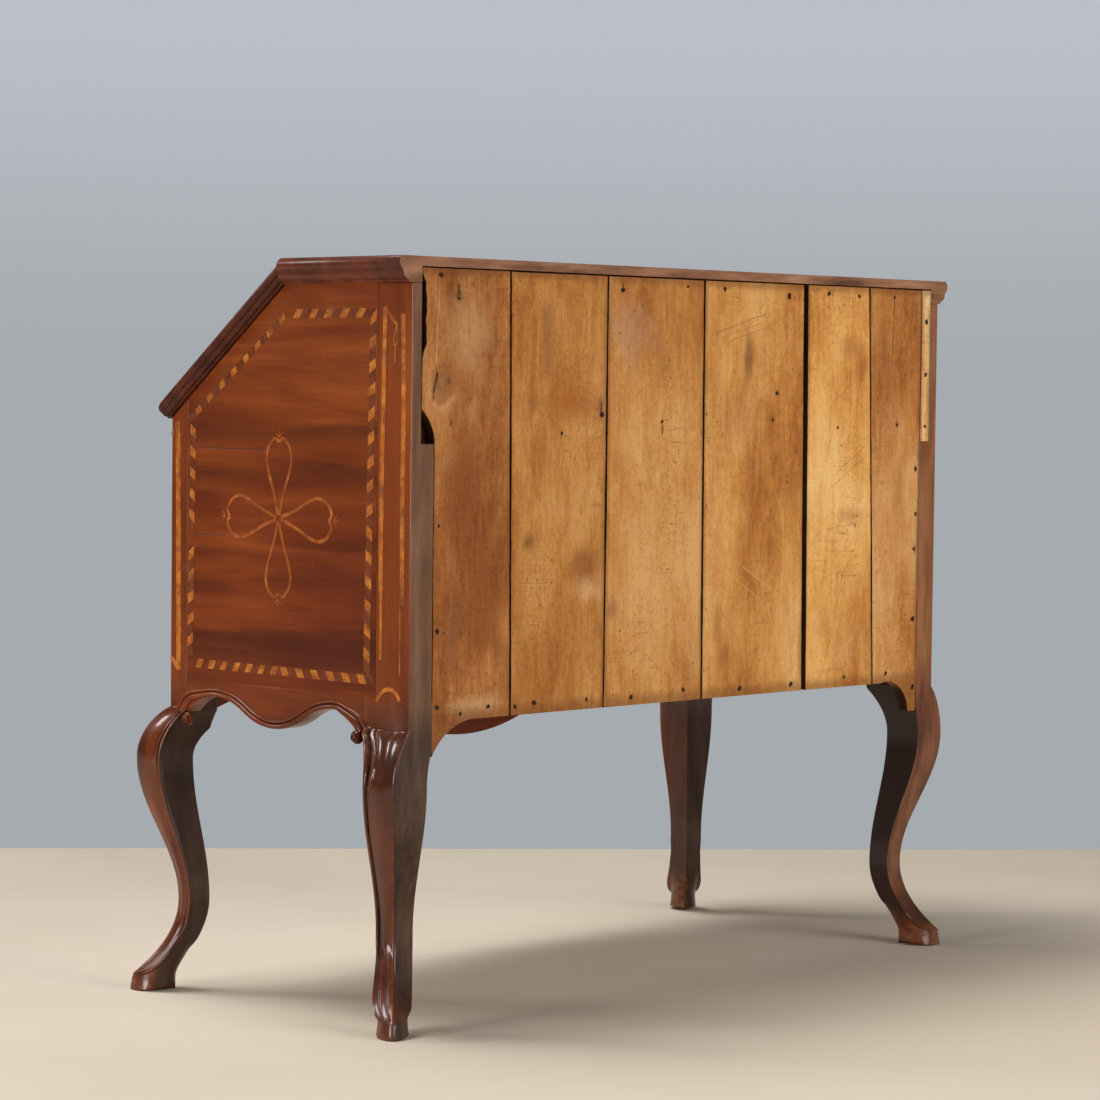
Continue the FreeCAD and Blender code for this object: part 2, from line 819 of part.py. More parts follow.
def small_drawer(left, right):
    low = desk_top + slide_gap
    high = low + small_drawer_height - slide_gap
    near = left + side_gap
    far = right - side_gap
    face = -gallery_depth
    back_of_front = face + small_front_thick
    back = -plank_thick - drawer_back_gap
    top = high - small_tray_drop
    inside = (near + small_wall, far - small_wall)
    front = box((near, face, low), (far, back_of_front, high))
    knob = on_front(pull(pull_reach, pull_ball), (near + far) / 2, (low + high) / 2)
    knob.translate(Vector(0, case_depth + face, 0))
    tray = [
        box((near, back_of_front, low), (inside[0], back, top)),
        box((inside[1], back_of_front, low), (far, back, top)),
        box((inside[0], back - small_wall, low), (inside[1], back, top)),
        box((inside[0], back_of_front, low), (inside[1], back - small_wall, low + small_floor)),
    ]
    return front.fuse(knob), Part.makeCompound(tray)


def upright(x, low_z, high_z):
    side = shelf_thick / 2
    return box((x - side, -gallery_depth, low_z), (x + side, -plank_thick, high_z))


def gallery():
    above = shelf_z + shelf_thick
    places = [-bay_split, 0.0, bay_split]
    made = {"gallery_shelf": through_board(shelf_z, above, -gallery_depth, -plank_thick)}
    made["drawer_partitions"] = Part.makeCompound([upright(x, desk_top, shelf_z) for x in places])
    made["pigeonhole_dividers"] = Part.makeCompound([upright(x, above, top_under) for x in places])
    ends = []
    for sign in (-1, 1):
        near, far = sorted((sign * post_inner, sign * inner_half))
        ends.append(box((near, -gallery_depth, desk_top), (far, -rear_post_deep, shelf_z)))
    made["gallery_end_blocks"] = Part.makeCompound(ends)
    edges = [-post_inner] + [x + shift for x in places for shift in (-shelf_thick / 2, shelf_thick / 2)]
    edges.append(post_inner)
    for i in range(len(places) + 1):
        front, tray = small_drawer(edges[2 * i], edges[2 * i + 1])
        made["small_drawer_%d_front" % (i + 1)] = front
        made["small_drawer_%d_tray" % (i + 1)] = tray
    return made


def assemble():
    right = {
        "rear_%s_leg": rear_leg(),
        "front_%s_leg": front_leg(),
        "%s_side_panel": side_panel(),
        "%s_side_apron": side_apron(),
        "%s_loper_housing": loper_housing(),
        "%s_loper": loper(),
    }
    pieces = {}
    for name, shape in right.items():
        pieces[name % "right"] = shape
        pieces[name % "left"] = flip_x(shape)
    strips = [guide_strip(floor_z, floor_z + loper_width), guide_strip(loper_bed, desk_under)]
    pieces["front_apron"] = front_apron()
    pieces["bottom_board"] = through_board(apron_top, floor_z, -case_depth, -plank_thick)
    pieces["drawer_divider"] = through_board(divider_z, upper_z, -case_depth, -plank_thick)
    pieces["guide_strips"] = Part.makeCompound(strips + [flip_x(strip) for strip in strips])
    pieces["desk_floor"] = desk_floor()
    pieces["top_board"] = top_board()
    pieces.update(planks())
    pieces["back_batten"] = back_batten()
    pieces["fall_board"] = fall_board()
    pieces["fall_lock"] = fall_lock()
    plate_place = lock_centre() + Vector(0, 0, fall_thick)
    pieces["fall_keyhole_plate"] = onto_slope(keyhole_plate().translated(plate_place))
    pieces["hinge_fixed_leaves"] = both_hinges(fixed_leaf())
    pieces["hinge_moving_leaves"] = both_hinges(moving_leaf())
    pin = rod(pin_radius, hinge_length, pivot - Vector(hinge_length / 2, 0, 0), Vector(1, 0, 0))
    pieces["hinge_pins"] = both_hinges(pin)
    pieces.update(gallery())
    pieces.update(drawer("lower_drawer", post_inner, floor_z, divider_z))
    pieces.update(drawer("upper_drawer", housing_inner, upper_z, desk_under))
    return pieces


def footprint_middle(pieces):
    """Middle of the ground that the whole desk covers, from its most forward and rearmost pieces."""
    front = pieces["front_right_leg"].optimalBoundingBox().YMin
    back = pieces["rear_right_leg"].optimalBoundingBox().YMax
    return Vector(0, (front + back) / 2, 0)


pieces = assemble()
middle = footprint_middle(pieces)
os.makedirs("parts", exist_ok=True)
for name, shape in pieces.items():
    shape.translated(-middle).exportStep("parts/%s.step" % name)
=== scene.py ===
import math

import bmesh
import bpy
import numpy as np
from mathutils import Matrix, Vector, noise


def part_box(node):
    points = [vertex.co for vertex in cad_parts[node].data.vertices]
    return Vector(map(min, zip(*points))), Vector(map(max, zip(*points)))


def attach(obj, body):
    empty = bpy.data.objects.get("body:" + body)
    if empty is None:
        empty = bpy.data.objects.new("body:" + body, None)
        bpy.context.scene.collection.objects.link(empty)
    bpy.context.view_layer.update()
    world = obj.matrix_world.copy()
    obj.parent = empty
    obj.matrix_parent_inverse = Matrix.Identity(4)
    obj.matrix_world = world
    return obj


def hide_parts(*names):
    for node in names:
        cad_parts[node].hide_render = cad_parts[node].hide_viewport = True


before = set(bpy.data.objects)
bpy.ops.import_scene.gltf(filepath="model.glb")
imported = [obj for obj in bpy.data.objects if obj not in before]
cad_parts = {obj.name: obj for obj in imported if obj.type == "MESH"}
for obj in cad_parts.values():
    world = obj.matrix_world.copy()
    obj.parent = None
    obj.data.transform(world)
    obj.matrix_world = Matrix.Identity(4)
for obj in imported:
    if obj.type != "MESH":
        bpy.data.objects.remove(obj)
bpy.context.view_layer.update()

# Legs below the case: each is one piece of walnut with the post above it, sawn to a double curve on
# two faces, then carved: beads along the inner edge, a rounded or hollow face, a ribbed leaf on the toe
# and a hoof. The posts' backs and the backs of the rear legs were never polished.


class Link:
    """An output socket; Python's operators on it add Math nodes."""

    def __init__(self, nodes, socket):
        self.nodes = nodes
        self.socket = socket

    def math(self, operation, *values):
        return self.nodes.add("ShaderNodeMath", {"operation": operation}, dict(enumerate(values)))

    def __add__(self, other):
        return self.math("ADD", self, other)

    def __sub__(self, other):
        return self.math("SUBTRACT", self, other)

    def __rsub__(self, other):
        return self.math("SUBTRACT", other, self)

    def __mul__(self, other):
        return self.math("MULTIPLY", self, other)

    def __truediv__(self, other):
        return self.math("DIVIDE", self, other)

    def __pow__(self, other):
        return self.math("POWER", self, other)

    __radd__ = __add__
    __rmul__ = __mul__

    def most(self, other):
        return self.math("MAXIMUM", self, other)

    def size(self):
        return self.math("ABSOLUTE", self)

    def rise(self, low, high):
        """0 below low, 1 above high, and an easy curve between; falls where low is the higher."""
        return self.nodes.add("ShaderNodeMapRange", {"interpolation_type": "SMOOTHSTEP"},
                              {"Value": self, "From Min": low, "From Max": high})


class Nodes:
    """A node tree; one method adds any node, with its settings and inputs."""

    def __init__(self, tree):
        self.tree = tree

    def add(self, kind, settings=None, inputs=None, out=0):
        node = self.tree.nodes.new(kind)
        for name, value in (settings or {}).items():
            if name == "stops":
                for i, (place, colour) in enumerate(value):
                    stop = node.color_ramp.elements[i] if i < 2 else node.color_ramp.elements.new(place)
                    stop.position = place
                    stop.color = colour
            else:
                setattr(node, name, value)
        for name, value in (inputs or {}).items():
            if isinstance(value, Link):
                self.tree.links.new(value.socket, node.inputs[name])
            else:
                node.inputs[name].default_value = value
        return Link(self, node.outputs[out]) if node.outputs else node

    def mix(self, share, first, second):
        return self.add("ShaderNodeMix", {"data_type": "RGBA"}, {0: share, 6: first, 7: second}, out=2)


def tone(red, green, blue):
    """Colour as it is read off a screen, 0 to 255, made linear."""
    def linear(level):
        level /= 255
        return level / 12.92 if level <= 0.04045 else ((level + 0.055) / 1.055) ** 2.4
    return (linear(red), linear(green), linear(blue), 1.0)


class Finish(Nodes):
    """Nodes of one material, in the part's own coordinates."""

    def __init__(self, name):
        self.material = bpy.data.materials.new(name)
        self.material.use_nodes = True
        super().__init__(self.material.node_tree)
        self.tree.nodes.clear()
        self.place = self.add("ShaderNodeTexCoord", out=3)
        self.facing = self.add("ShaderNodeNewGeometry", out=1)

    def axis(self, number):
        return self.add("ShaderNodeSeparateXYZ", inputs={0: self.place}, out=number)

    def facing_axis(self, number):
        return self.add("ShaderNodeSeparateXYZ", inputs={0: self.facing}, out=number)

    def noise(self, scale, detail=4.0, rough=0.55, twist=0.0, fine=1.0, move=(0, 0, 0), turn=(0, 0, 0)):
        """Noise with its own scale on each axis, in waves to the metre."""
        place = self.add("ShaderNodeMapping", inputs={"Vector": self.place, "Location": move, "Rotation": turn,
                                                      "Scale": scale})
        return self.add("ShaderNodeTexNoise", inputs={"Vector": place, "Scale": fine, "Detail": detail,
                                                      "Roughness": rough, "Distortion": twist})

    def ramp(self, share, *stops):
        return self.add("ShaderNodeValToRGB", {"stops": stops}, {"Fac": share})

    def painted(self, name):
        return self.add("ShaderNodeAttribute", {"attribute_name": name}, out=2)

    def close(self, colour, roughness, height, depth, sockets):
        """Ends the material: colour and roughness vary, height is bumped, sockets are constants."""
        bump = self.add("ShaderNodeBump", inputs={"Height": height, "Distance": depth, "Strength": 1.0})
        values = {"Base Color": colour, "Roughness": roughness, "Normal": bump}
        shader = self.add("ShaderNodeBsdfPrincipled", inputs={**values, **sockets})
        self.add("ShaderNodeOutputMaterial", inputs={"Surface": shader})
        return self.material


def stretched(grain, across, along):
    """Scale of a noise on each axis, across the grain and along it."""
    return [along if axis == grain else across for axis in range(3)]


def walnut(name, grain, tones, gloss=0.3, coat=0.1, raw=((96, 68, 54), (122, 90, 72), (146, 114, 94)), back=None,
           lower=None, bands=(), cracks=(), x_face_shade=0.0):
    """Polished walnut, grain along one axis, tones from dark to light; raw wood shows where the mesh is painted
    bare and, when back is given, on faces turned to the back at that depth; faces turned to the back further in get
    painted shade. Lower gives other tones and raw wood for below a height; bands darken it at some heights; the
    last argument is the strength of painted shade on the faces turned to +X above the hoof. Marks painted on the
    mesh darken quirks, grooves, undercuts and inner faces: dirt and painted shade."""
    finish = Finish(name)
    lengthwise = stretched(grain, 13.0, 1.1)
    drift = finish.noise((2.2, 2.2, 2.2), 3.0)
    figure = finish.noise(lengthwise, 6.0, 0.58, 0.7, fine=1.6)
    streak = finish.noise([value * 5 for value in lengthwise], 4.0, 0.6)
    pores = finish.noise(stretched(grain, 380.0, 14.0), 2.0, 0.5).rise(0.56, 0.74)
    dust = finish.noise([value * 3 + 4 for value in lengthwise], 6.0, 0.62)
    share = figure * 0.5 + streak * 0.2 + drift * 0.38 - pores * 0.05 - 0.04

    def figured(values, bare_values):
        stops = zip((0.33, 0.46, 0.57, 0.70), (tone(*value) for value in values))
        dry_stops = zip((0.32, 0.5, 0.7), (tone(*value) for value in bare_values))
        return finish.ramp(share, *stops), finish.ramp(dust, *dry_stops)

    colour, dry = figured(tones, raw)
    if lower:
        high, low, other, other_raw = lower
        down = (finish.axis(2) + (figure - 0.5) * 0.05).rise(high, low)
        second, second_dry = figured(other, other_raw)
        colour = finish.mix(down, colour, second)
        dry = finish.mix(down, dry, second_dry)
    for place, reach, strength in bands:
        away = ((finish.axis(2) - place) / reach + (figure - 0.5) * 2.4).size()
        colour = finish.mix(away.rise(1.0, 0.1) * strength, colour, tone(58, 21, 9))
    for start, end, level, tilt in cracks:
        y = finish.axis(1)
        off = (finish.axis(2) - level - (y - start) * tilt + (streak - 0.5) * 0.002).size()
        line = off.rise(0.0012, 0.0004) * y.rise(start, start + 0.01) * y.rise(end, end - 0.03)
        colour = finish.mix(line * 0.75, colour, tone(52, 26, 18))
        pores = pores + line * 3
    # Marks painted on the mesh darken the wood in quirks, grooves, undercuts and inner faces: dirt and painted shade.
    dirt_and_shade = finish.painted("dirt_and_shade")
    colour = finish.mix(dirt_and_shade * 0.85, colour, tone(24, 11, 8))
    wear = finish.painted("wear") * finish.noise((60, 60, 60), 4.0).rise(0.38, 0.62)
    colour = finish.mix(wear * 0.45, colour, tone(152, 90, 54))
    scuff = finish.noise((46, 46, 46), 9.0, 0.75, move=(3, 5, 7)).rise(0.62, 0.72)
    colour = finish.mix(scuff * 0.22, colour, tone(150, 96, 66))
    bare = finish.painted("bare")
    if back is not None:
        # Faces turned to the back but standing in front of its depth are painted in shade; at its depth they show raw
        # wood.
        turned = finish.facing_axis(1).rise(0.6, 0.9)
        depth = finish.axis(1).rise(back - 0.009, back - 0.004)
        colour = finish.mix(turned * (1 - depth) * 0.85, colour, tone(38, 22, 15))
        bare = bare.most(turned * depth)
    colour = finish.mix(bare, colour, dry)
    if x_face_shade:
        # Painted shade on the faces turned to +X, above the hoof.
        above_hoof = finish.axis(2).rise(0.025, 0.065)
        colour = finish.mix(finish.facing_axis(0).rise(0.2, 0.6) * above_hoof * x_face_shade, colour, tone(26, 14, 10))
    rough = gloss + drift * 0.12 + pores * 0.08 + scuff * 0.12 + dirt_and_shade * 0.2 + bare * 0.32
    return finish.close(colour, rough, pores * -0.3 + streak * 0.25 + scuff * 0.15, 0.0002,
                        {"Coat Weight": coat, "Coat Roughness": 0.1, "Specular IOR Level": 0.2})


def placed(name, data):
    thing = bpy.data.objects.new(name, data)
    bpy.context.scene.collection.objects.link(thing)
    return thing


def show(name, mesh, material, body, *nodes):
    """Puts a finished mesh in the scene on a body, in place of the nodes it stands for."""
    mesh.name = name
    mesh.materials.clear()
    mesh.materials.append(material)
    thing = placed(name, mesh)
    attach(thing, body)
    if nodes:
        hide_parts(*nodes)


def finished(shape, name, sharp=35.0):
    """Plain mesh from a bmesh, smooth but for edges sharper than the given angle."""
    mesh = bpy.data.meshes.new(name)
    shape.to_mesh(mesh)
    shape.free()
    mesh.shade_smooth()
    mesh.set_sharp_from_angle(angle=math.radians(sharp))
    return mesh


def solid_copy(node, above=None):
    """The node's own mesh with its triangles joined to clean faces; only the part above a level if one is given."""
    shape = bmesh.new()
    shape.from_mesh(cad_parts[node].data)
    bmesh.ops.remove_doubles(shape, verts=shape.verts, dist=0.00002)
    if above is not None:
        bmesh.ops.bisect_plane(shape, geom=shape.verts[:] + shape.edges[:] + shape.faces[:], dist=0.00001,
                               plane_co=(0, 0, above), plane_no=(0, 0, 1), clear_inner=True)
        bmesh.ops.holes_fill(shape, edges=[e for e in shape.edges if e.is_boundary])
    bmesh.ops.dissolve_limit(shape, angle_limit=math.radians(1.0), verts=shape.verts, edges=shape.edges)
    return shape


def eased(shape, width, steps=2, angle=28.0, above=-1.0):
    """Rounds every edge above a level that is sharper than an angle, as wear and polishing do."""
    edges = [e for e in shape.edges if len(e.link_faces) == 2 and e.calc_face_angle(0) > math.radians(angle)
             and max(spot.co.z for spot in e.verts) > above + 0.0001]
    bmesh.ops.bevel(shape, geom=edges, offset=width, segments=steps, profile=0.6, affect="EDGES", clamp_overlap=True)
    return shape


def board(node, width=0.0008, flat=0.0008, above=None):
    """Mesh of a rigid node with eased edges; its broad faces are shaded flat, its curved edges smooth."""
    mesh = finished(eased(solid_copy(node, above), width, above=above or -1.0), node + ".board")
    for face in mesh.polygons:
        if face.area > flat:
            face.use_smooth = False
    return mesh


half_width = 0.532
front_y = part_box("lower_drawer_front")[0].y
back_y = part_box("back_plank_1")[1].y
apron_top = 0.425
shoulder_z = 0.385
block_z = 0.354
scroll_z = 0.379
knee_z = 0.315
ankle_z = 0.124
foot_z = 0.030
leaf_tip_z = 0.021
leaf_length = 0.059
leaf_rise = 0.037
leaf_bend = 2.2
blank_side = 0.059
post_width = 0.050
knee_out = 0.0205
ankle_in = 0.020
toe_out = 0.042
knee_side = 0.057
ankle_side = 0.033
foot_side = 0.040
foot_tuck = 0.0015
rebate_face = 0.039
rebate_depth = 0.016
rebate_z = 0.352
face_steps = 45
crown_start = 0.010
crown_tall = 0.0016
quirk_half = 0.0012
leg_levels = ((0.394, 0.0012, 35), (0.352, 0.0033, 85), (0.0715, 0.0009, 79))
front_shift = Vector((0.006, 0.025))
rear_shift = Vector((0.005, -0.020))
diagonal = Vector((1, 1)).normalized()
crosswise = Vector((1, -1)).normalized()
hoof_levels = (0.0, 0.0015, 0.006, 0.014, 0.022, 0.030, 0.040, 0.053, 0.066)
hoof_toe = (0.0298, 0.0309, 0.0306, 0.0292, 0.0270, 0.0230, 0.0175, 0.0095, 0.0030)
hoof_heel = (-0.0288, -0.0297, -0.0297, -0.0297, -0.0300, -0.0330, -0.0385, -0.0462, -0.0520)
hoof_half = (0.0203, 0.0212, 0.0206, 0.0194, 0.0188, 0.0192, 0.0208, 0.0232, 0.0243)


def ease(share):
    return (1 - math.cos(math.pi * min(max(share, 0.0), 1.0))) / 2


def lean(z):
    """How far the knee has come out, from nothing at the shoulder to 1."""
    share = min(1.0, max(0.0, (shoulder_z - z) / (shoulder_z - knee_z)))
    return math.sin(math.pi / 2 * share ** 0.78)


def swing(z):
    """Reach of the outer corner beyond the post's corner."""
    if z >= knee_z:
        return knee_out * lean(z)
    if z >= ankle_z:
        return knee_out - (knee_out + ankle_in) * ease((knee_z - z) / (knee_z - ankle_z))
    return -ankle_in + (toe_out + ankle_in) * ((ankle_z - z) / ankle_z) ** 2


leaf_tip = swing(leaf_tip_z) * diagonal.x * 2 - 0.0035


def foot_share(z):
    return min(1.0, max(0.0, (ankle_z - z) / (ankle_z - foot_z))) ** 4


def inner_corner(z, shift, block, start_z):
    """Inner corner on one axis; it leaves the square block at a height and runs in a hollow to the knee."""
    knee = knee_out + shift - knee_side
    if z >= start_z:
        return block
    if z >= knee_z:
        return knee + (block - knee) * ((z - knee_z) / (start_z - knee_z)) ** 2
    side = knee_side - (knee_side - ankle_side) * ease((knee_z - z) / (knee_z - ankle_z))
    return swing(z) + shift - side - (foot_side - ankle_side) * foot_share(z)


def carved(along, wide, deep, double, swell, hollow):
    """Height of a carved face at a distance from its inner edge: beads, quirks and crown, with dirt and painted shade
    in the quirks and wear on the beads.
    """
    along /= swell
    wide /= swell
    raised = 0.0
    for place, half, tall in ((0.0028, 0.0027, 0.0018 * swell), (0.0092, 0.0028, 0.0014 * double)):
        raised += tall * max(0.0, 1 - ((along - place) / half) ** 2) ** 0.5
    cut = 0.0
    for place, depth in ((0.0061, 0.0018), (0.0127, 0.0013 * double)):
        cut += depth * max(0.0, 1 - ((along - place) / quirk_half) ** 2)
    rest = min(max((along - crown_start) / max(wide - crown_start, 0.001), 0.0), 1.0)
    dip = hollow * math.exp(-((rest - 0.52) / 0.20) ** 2)
    height = deep * (raised - cut + crown_tall * math.sin(math.pi * rest)) - dip
    return height, deep * cut * 560, deep * raised * 150


def fluted(z, behind):
    """Height of the ribs of the leaf on the toe, at a distance behind its tip; a rim follows its lower edge."""
    if z <= leaf_tip_z:
        return 0.0
    inside = leaf_length * ((z - leaf_tip_z) / leaf_rise) ** (1 / leaf_bend) - behind
    if inside < 0:
        return 0.0
    rim = 0.0019 * math.exp(-((inside - 0.0017) / 0.0016) ** 2) * ease((0.080 - z) / 0.026)
    ribs = 0.0013 * math.cos(2 * math.pi * (inside - 0.0017) / 0.0102) * ease(inside / 0.002)
    return rim + ribs * ease((0.128 - z) / 0.05)


def leg_ring(z, shift, rear):
    """Points round the leg at one height, in the frame of the post's outer corner: x, y, dirt and painted shade,
    wear, bare wood.
    """
    lead = lean(z)
    block_x, start_x = (-post_width, shoulder_z) if rear else (shift.x - blank_side, block_z)
    block_y = shift.y - blank_side - (0.004 * ease((0.396 - z) / 0.008) if rear else 0.0)
    out = Vector((swing(z) + shift.x * lead, swing(z) + shift.y * lead))
    low = Vector((inner_corner(z, shift.x, block_x, start_x),
                  inner_corner(z, shift.y, block_y, scroll_z)))
    tuck = foot_tuck * foot_share(z)
    ends = (Vector((out.x - tuck, low.y + tuck)), out, Vector((low.x + tuck, out.y - tuck)), low)
    deep = ease((0.394 - z) / 0.022) * ease((z - 0.062) / 0.05)
    double = ease((z - 0.285) / 0.05)
    swell = 1 + 1.1 * ease((z - 0.300) / 0.06) if rear else 1.0
    hollow = 0.0034 * ease((0.398 - z) / 0.016) * ease((z - 0.285) / 0.085) if rear else 0.0
    melt = (knee_out + shift.x) * (lead - ease((0.392 - z) / 0.080)) * 0.6 if rear and z > knee_z else 0.0
    corner = 0.0015 + 0.0025 * lead if rear else 0.0015 + 0.0125 * lead - 0.004 * foot_share(z)
    points = []

    def face(start, end, polished, towards_outer):
        wide = (end - start).length - corner
        run = (end - start).normalized()
        normal = Vector((run.y, -run.x))
        for i in range(face_steps + 1):
            share = (i / face_steps) ** 1.15 if towards_outer else 1 - ((face_steps - i) / face_steps) ** 1.15
            spot = start + run * (wide * share + (0.0 if towards_outer else corner))
            inside = wide * share if towards_outer else wide * (1 - share)
            height, dirt_and_shade, wear = carved(inside, wide, deep, double, swell, hollow if towards_outer else 0.0)
            ribs = fluted(z, leaf_tip - (spot - shift).dot(diagonal))
            # The hollows between the leaf's ribs are painted dark: dirt and painted shade.
            dirt_and_shade = max(dirt_and_shade, ease((-0.0002 - ribs) / 0.0009) * 0.8)
            spot += normal * ((height + ribs - melt * ease((0.6 - share) / 0.4)) if polished else 0.0)
            points.append((spot.x, spot.y, *((dirt_and_shade, wear, 0.0) if polished else (0.0, 0.0, 1.0))))

    face(ends[0], ends[1], True, True)
    first = ends[1] + (ends[0] - ends[1]).normalized() * corner
    last = ends[1] + (ends[2] - ends[1]).normalized() * corner
    for i in range(1, 8):
        share = i / 8
        spot = first * (1 - share) ** 2 + ends[1] * (2 * share * (1 - share)) + last * share ** 2
        points.append((spot.x, spot.y, 0.0, 0.35, 0.0))
    face(ends[1], ends[2], not rear, False)
    # The two inner faces, under the case, get some painted shade and half raw wood.
    for start, end, begin in ((ends[2], ends[3], 1), (ends[3], ends[0], 0)):
        for i in range(begin, 9):
            spot = start.lerp(end, i / 9)
            points.append((spot.x, spot.y, 0.25, 0.0, 0.5))
    return points


def on_hoof(spot, z):
    """Where the hoof's pointed oval lies in the direction of a point of the leg, on the leg's own diagonals."""
    toe, heel, half = (np.interp(z, hoof_levels, row) for row in (hoof_toe, hoof_heel, hoof_half))
    middle = (toe + heel) / 2
    length = (toe - heel) / 2
    turn = math.atan2(spot.dot(crosswise), spot.dot(diagonal) - middle)
    power = 1.5 if math.cos(turn) > 0 else 1.75
    reach = (abs(math.cos(turn) / length) ** power + abs(math.sin(turn) / half) ** power) ** (-1 / power)
    return diagonal * (middle + reach * math.cos(turn)) + crosswise * (reach * math.sin(turn))


def skin(rings, marks, *names):
    """Quads from ring to ring, with flat ends; the marks of each point are painted under the names given."""
    shape = bmesh.new()
    paint = [shape.verts.layers.float.new(name) for name in names]
    rows = [[shape.verts.new(point) for point in ring] for ring in rings]
    for low, high in zip(rows, rows[1:]):
        for i in range(len(low)):
            shape.faces.new((low[i - 1], low[i], high[i], high[i - 1]))
    shape.faces.new(rows[0][::-1])
    shape.faces.new(rows[-1])
    for row, row_marks in zip(rows, marks):
        for spot, values in zip(row, row_marks):
            for layer, value in zip(paint, values):
                spot[layer] = min(value, 1.0)
    return shape


def corner_mesh(shape, rear, side):
    """Stands a shape made in the frame of a post's outer corner at its own corner of the case."""
    turn = Matrix.Diagonal((side, 1 if rear else -1, 1, 1))
    place = Matrix.Translation((side * half_width, back_y if rear else front_y, 0))
    shape.transform(place @ turn)
    bmesh.ops.recalc_face_normals(shape, faces=shape.faces)
    return finished(shape, "leg", 40.0)


def lower_leg(rear, side):
    """Carved leg from the underside of the case to the floor, at one corner, with the hoof under its leaf."""
    shift = rear_shift if rear else front_shift
    levels = [top - step * i for top, step, count in leg_levels for i in range(count)]
    rings = []
    marks = []
    for z in [apron_top, 0.400, *levels, 0.0006, 0.0]:
        ring = []
        row = []
        for x, y, dirt_and_shade, wear, bare in leg_ring(z, shift, rear):
            spot = Vector((x, y))
            if z < 0.085:
                behind = leaf_tip - (spot - shift).dot(diagonal)
                edge = min(leaf_tip_z + leaf_rise * (max(behind, 0.0) / leaf_length) ** leaf_bend, 0.060)
                under = z - edge
                leaf = ease(under / (0.0014 + 0.018 * ease((behind - 0.036) / 0.022)) + 0.5)
                spot = (on_hoof(spot - shift, z) + shift).lerp(spot, leaf)
                # Just below the leaf's lower edge the hoof gets painted shade, and along the rim above it wear; the
                # bottom of the hoof is darkened too, dirt and painted shade.
                shade = math.exp(-(under / 0.0022) ** 2) * ease((0.05 - behind) / 0.02)
                dirt_and_shade = max(dirt_and_shade * leaf, 0.9 * shade * (1 - leaf), 0.5 * ease((0.006 - z) / 0.006))
                dirt_and_shade = max(dirt_and_shade, 0.12 * (1 - leaf))
                wear = max(wear * leaf, 0.45 * shade * leaf, 0.9 * (1 - leaf))
                bare = max(bare * (0.35 + 0.65 * ease((z - 0.05) / 0.035)), 0.15 * (1 - leaf))
            ring.append((spot.x, spot.y, z))
            row.append((dirt_and_shade, wear, bare))
        rings.append(ring)
        marks.append(row)
    return corner_mesh(skin(rings, marks, "dirt_and_shade", "wear", "bare"), rear, side)


def without(mesh, low, high):
    """The mesh with a box cut out of it."""
    shape = bmesh.new()
    bmesh.ops.create_cube(shape, size=1.0)
    size = Vector(high) - Vector(low)
    shape.transform(Matrix.Translation((Vector(low) + Vector(high)) / 2) @ Matrix.Diagonal((*size, 1)))
    cutter_mesh = bpy.data.meshes.new("cutter")
    shape.to_mesh(cutter_mesh)
    shape.free()
    cutter = placed("cutter", cutter_mesh)
    thing = placed("uncut", mesh)
    change = thing.modifiers.new("rebate", "BOOLEAN")
    change.object = cutter
    change.operation = "DIFFERENCE"
    change.solver = "EXACT"
    made = bpy.data.meshes.new_from_object(thing.evaluated_get(bpy.context.evaluated_depsgraph_get()))
    for one in (cutter, thing):
        bpy.data.objects.remove(one)
    return made


post_tones = ((90, 36, 13), (118, 54, 20), (137, 67, 25), (153, 83, 36))
leg_tones = ((42, 14, 5), (74, 31, 11), (100, 44, 17), (124, 60, 27))
post_walnut = walnut("post_walnut", 2, post_tones, 0.23, 0.38, ((86, 57, 39), (110, 76, 54), (132, 96, 72)), back_y,
                     (0.440, 0.365, leg_tones, ((46, 29, 19), (70, 48, 34), (94, 70, 55))))
# The rear left leg and its post: warmer raw wood, and painted shade on the faces turned to +X, towards the middle of
# the case.
warm_walnut = walnut("warm_walnut", 2, post_tones, 0.23, 0.38, ((106, 62, 34), (134, 84, 50), (156, 106, 68)), back_y,
                     (0.440, 0.365, leg_tones, ((78, 42, 24), (106, 62, 39), (132, 86, 60))), x_face_shade=0.85)
hands = (("right", 1), ("left", -1))
for end in ("front", "rear"):
    for hand, side in hands:
        node = "%s_%s_leg" % (end, hand)
        wood = warm_walnut if (end, hand) == ("rear", "left") else post_walnut
        post = board(node, 0.0015, above=apron_top)
        show(node + "_post", post, wood, "case", node)
        leg = lower_leg(end == "rear", side)
        if end == "rear":
            near, far = sorted((side * 0.40, side * (half_width - rebate_face)))
            leg = without(leg, (near, back_y - rebate_depth, rebate_z), (far, back_y + 0.05, 0.50))
        show(node + "_carved", leg, wood, "case", node)

# Side panels: broad walnut boards, grain front to back, tongued between the posts under the slope of the
# fall. Let into them and into the posts are a border of light and dark lozenges, fine lines with pointed
# and arched ends, and a knot of four heart-tipped loops, all in a lighter fruit wood.


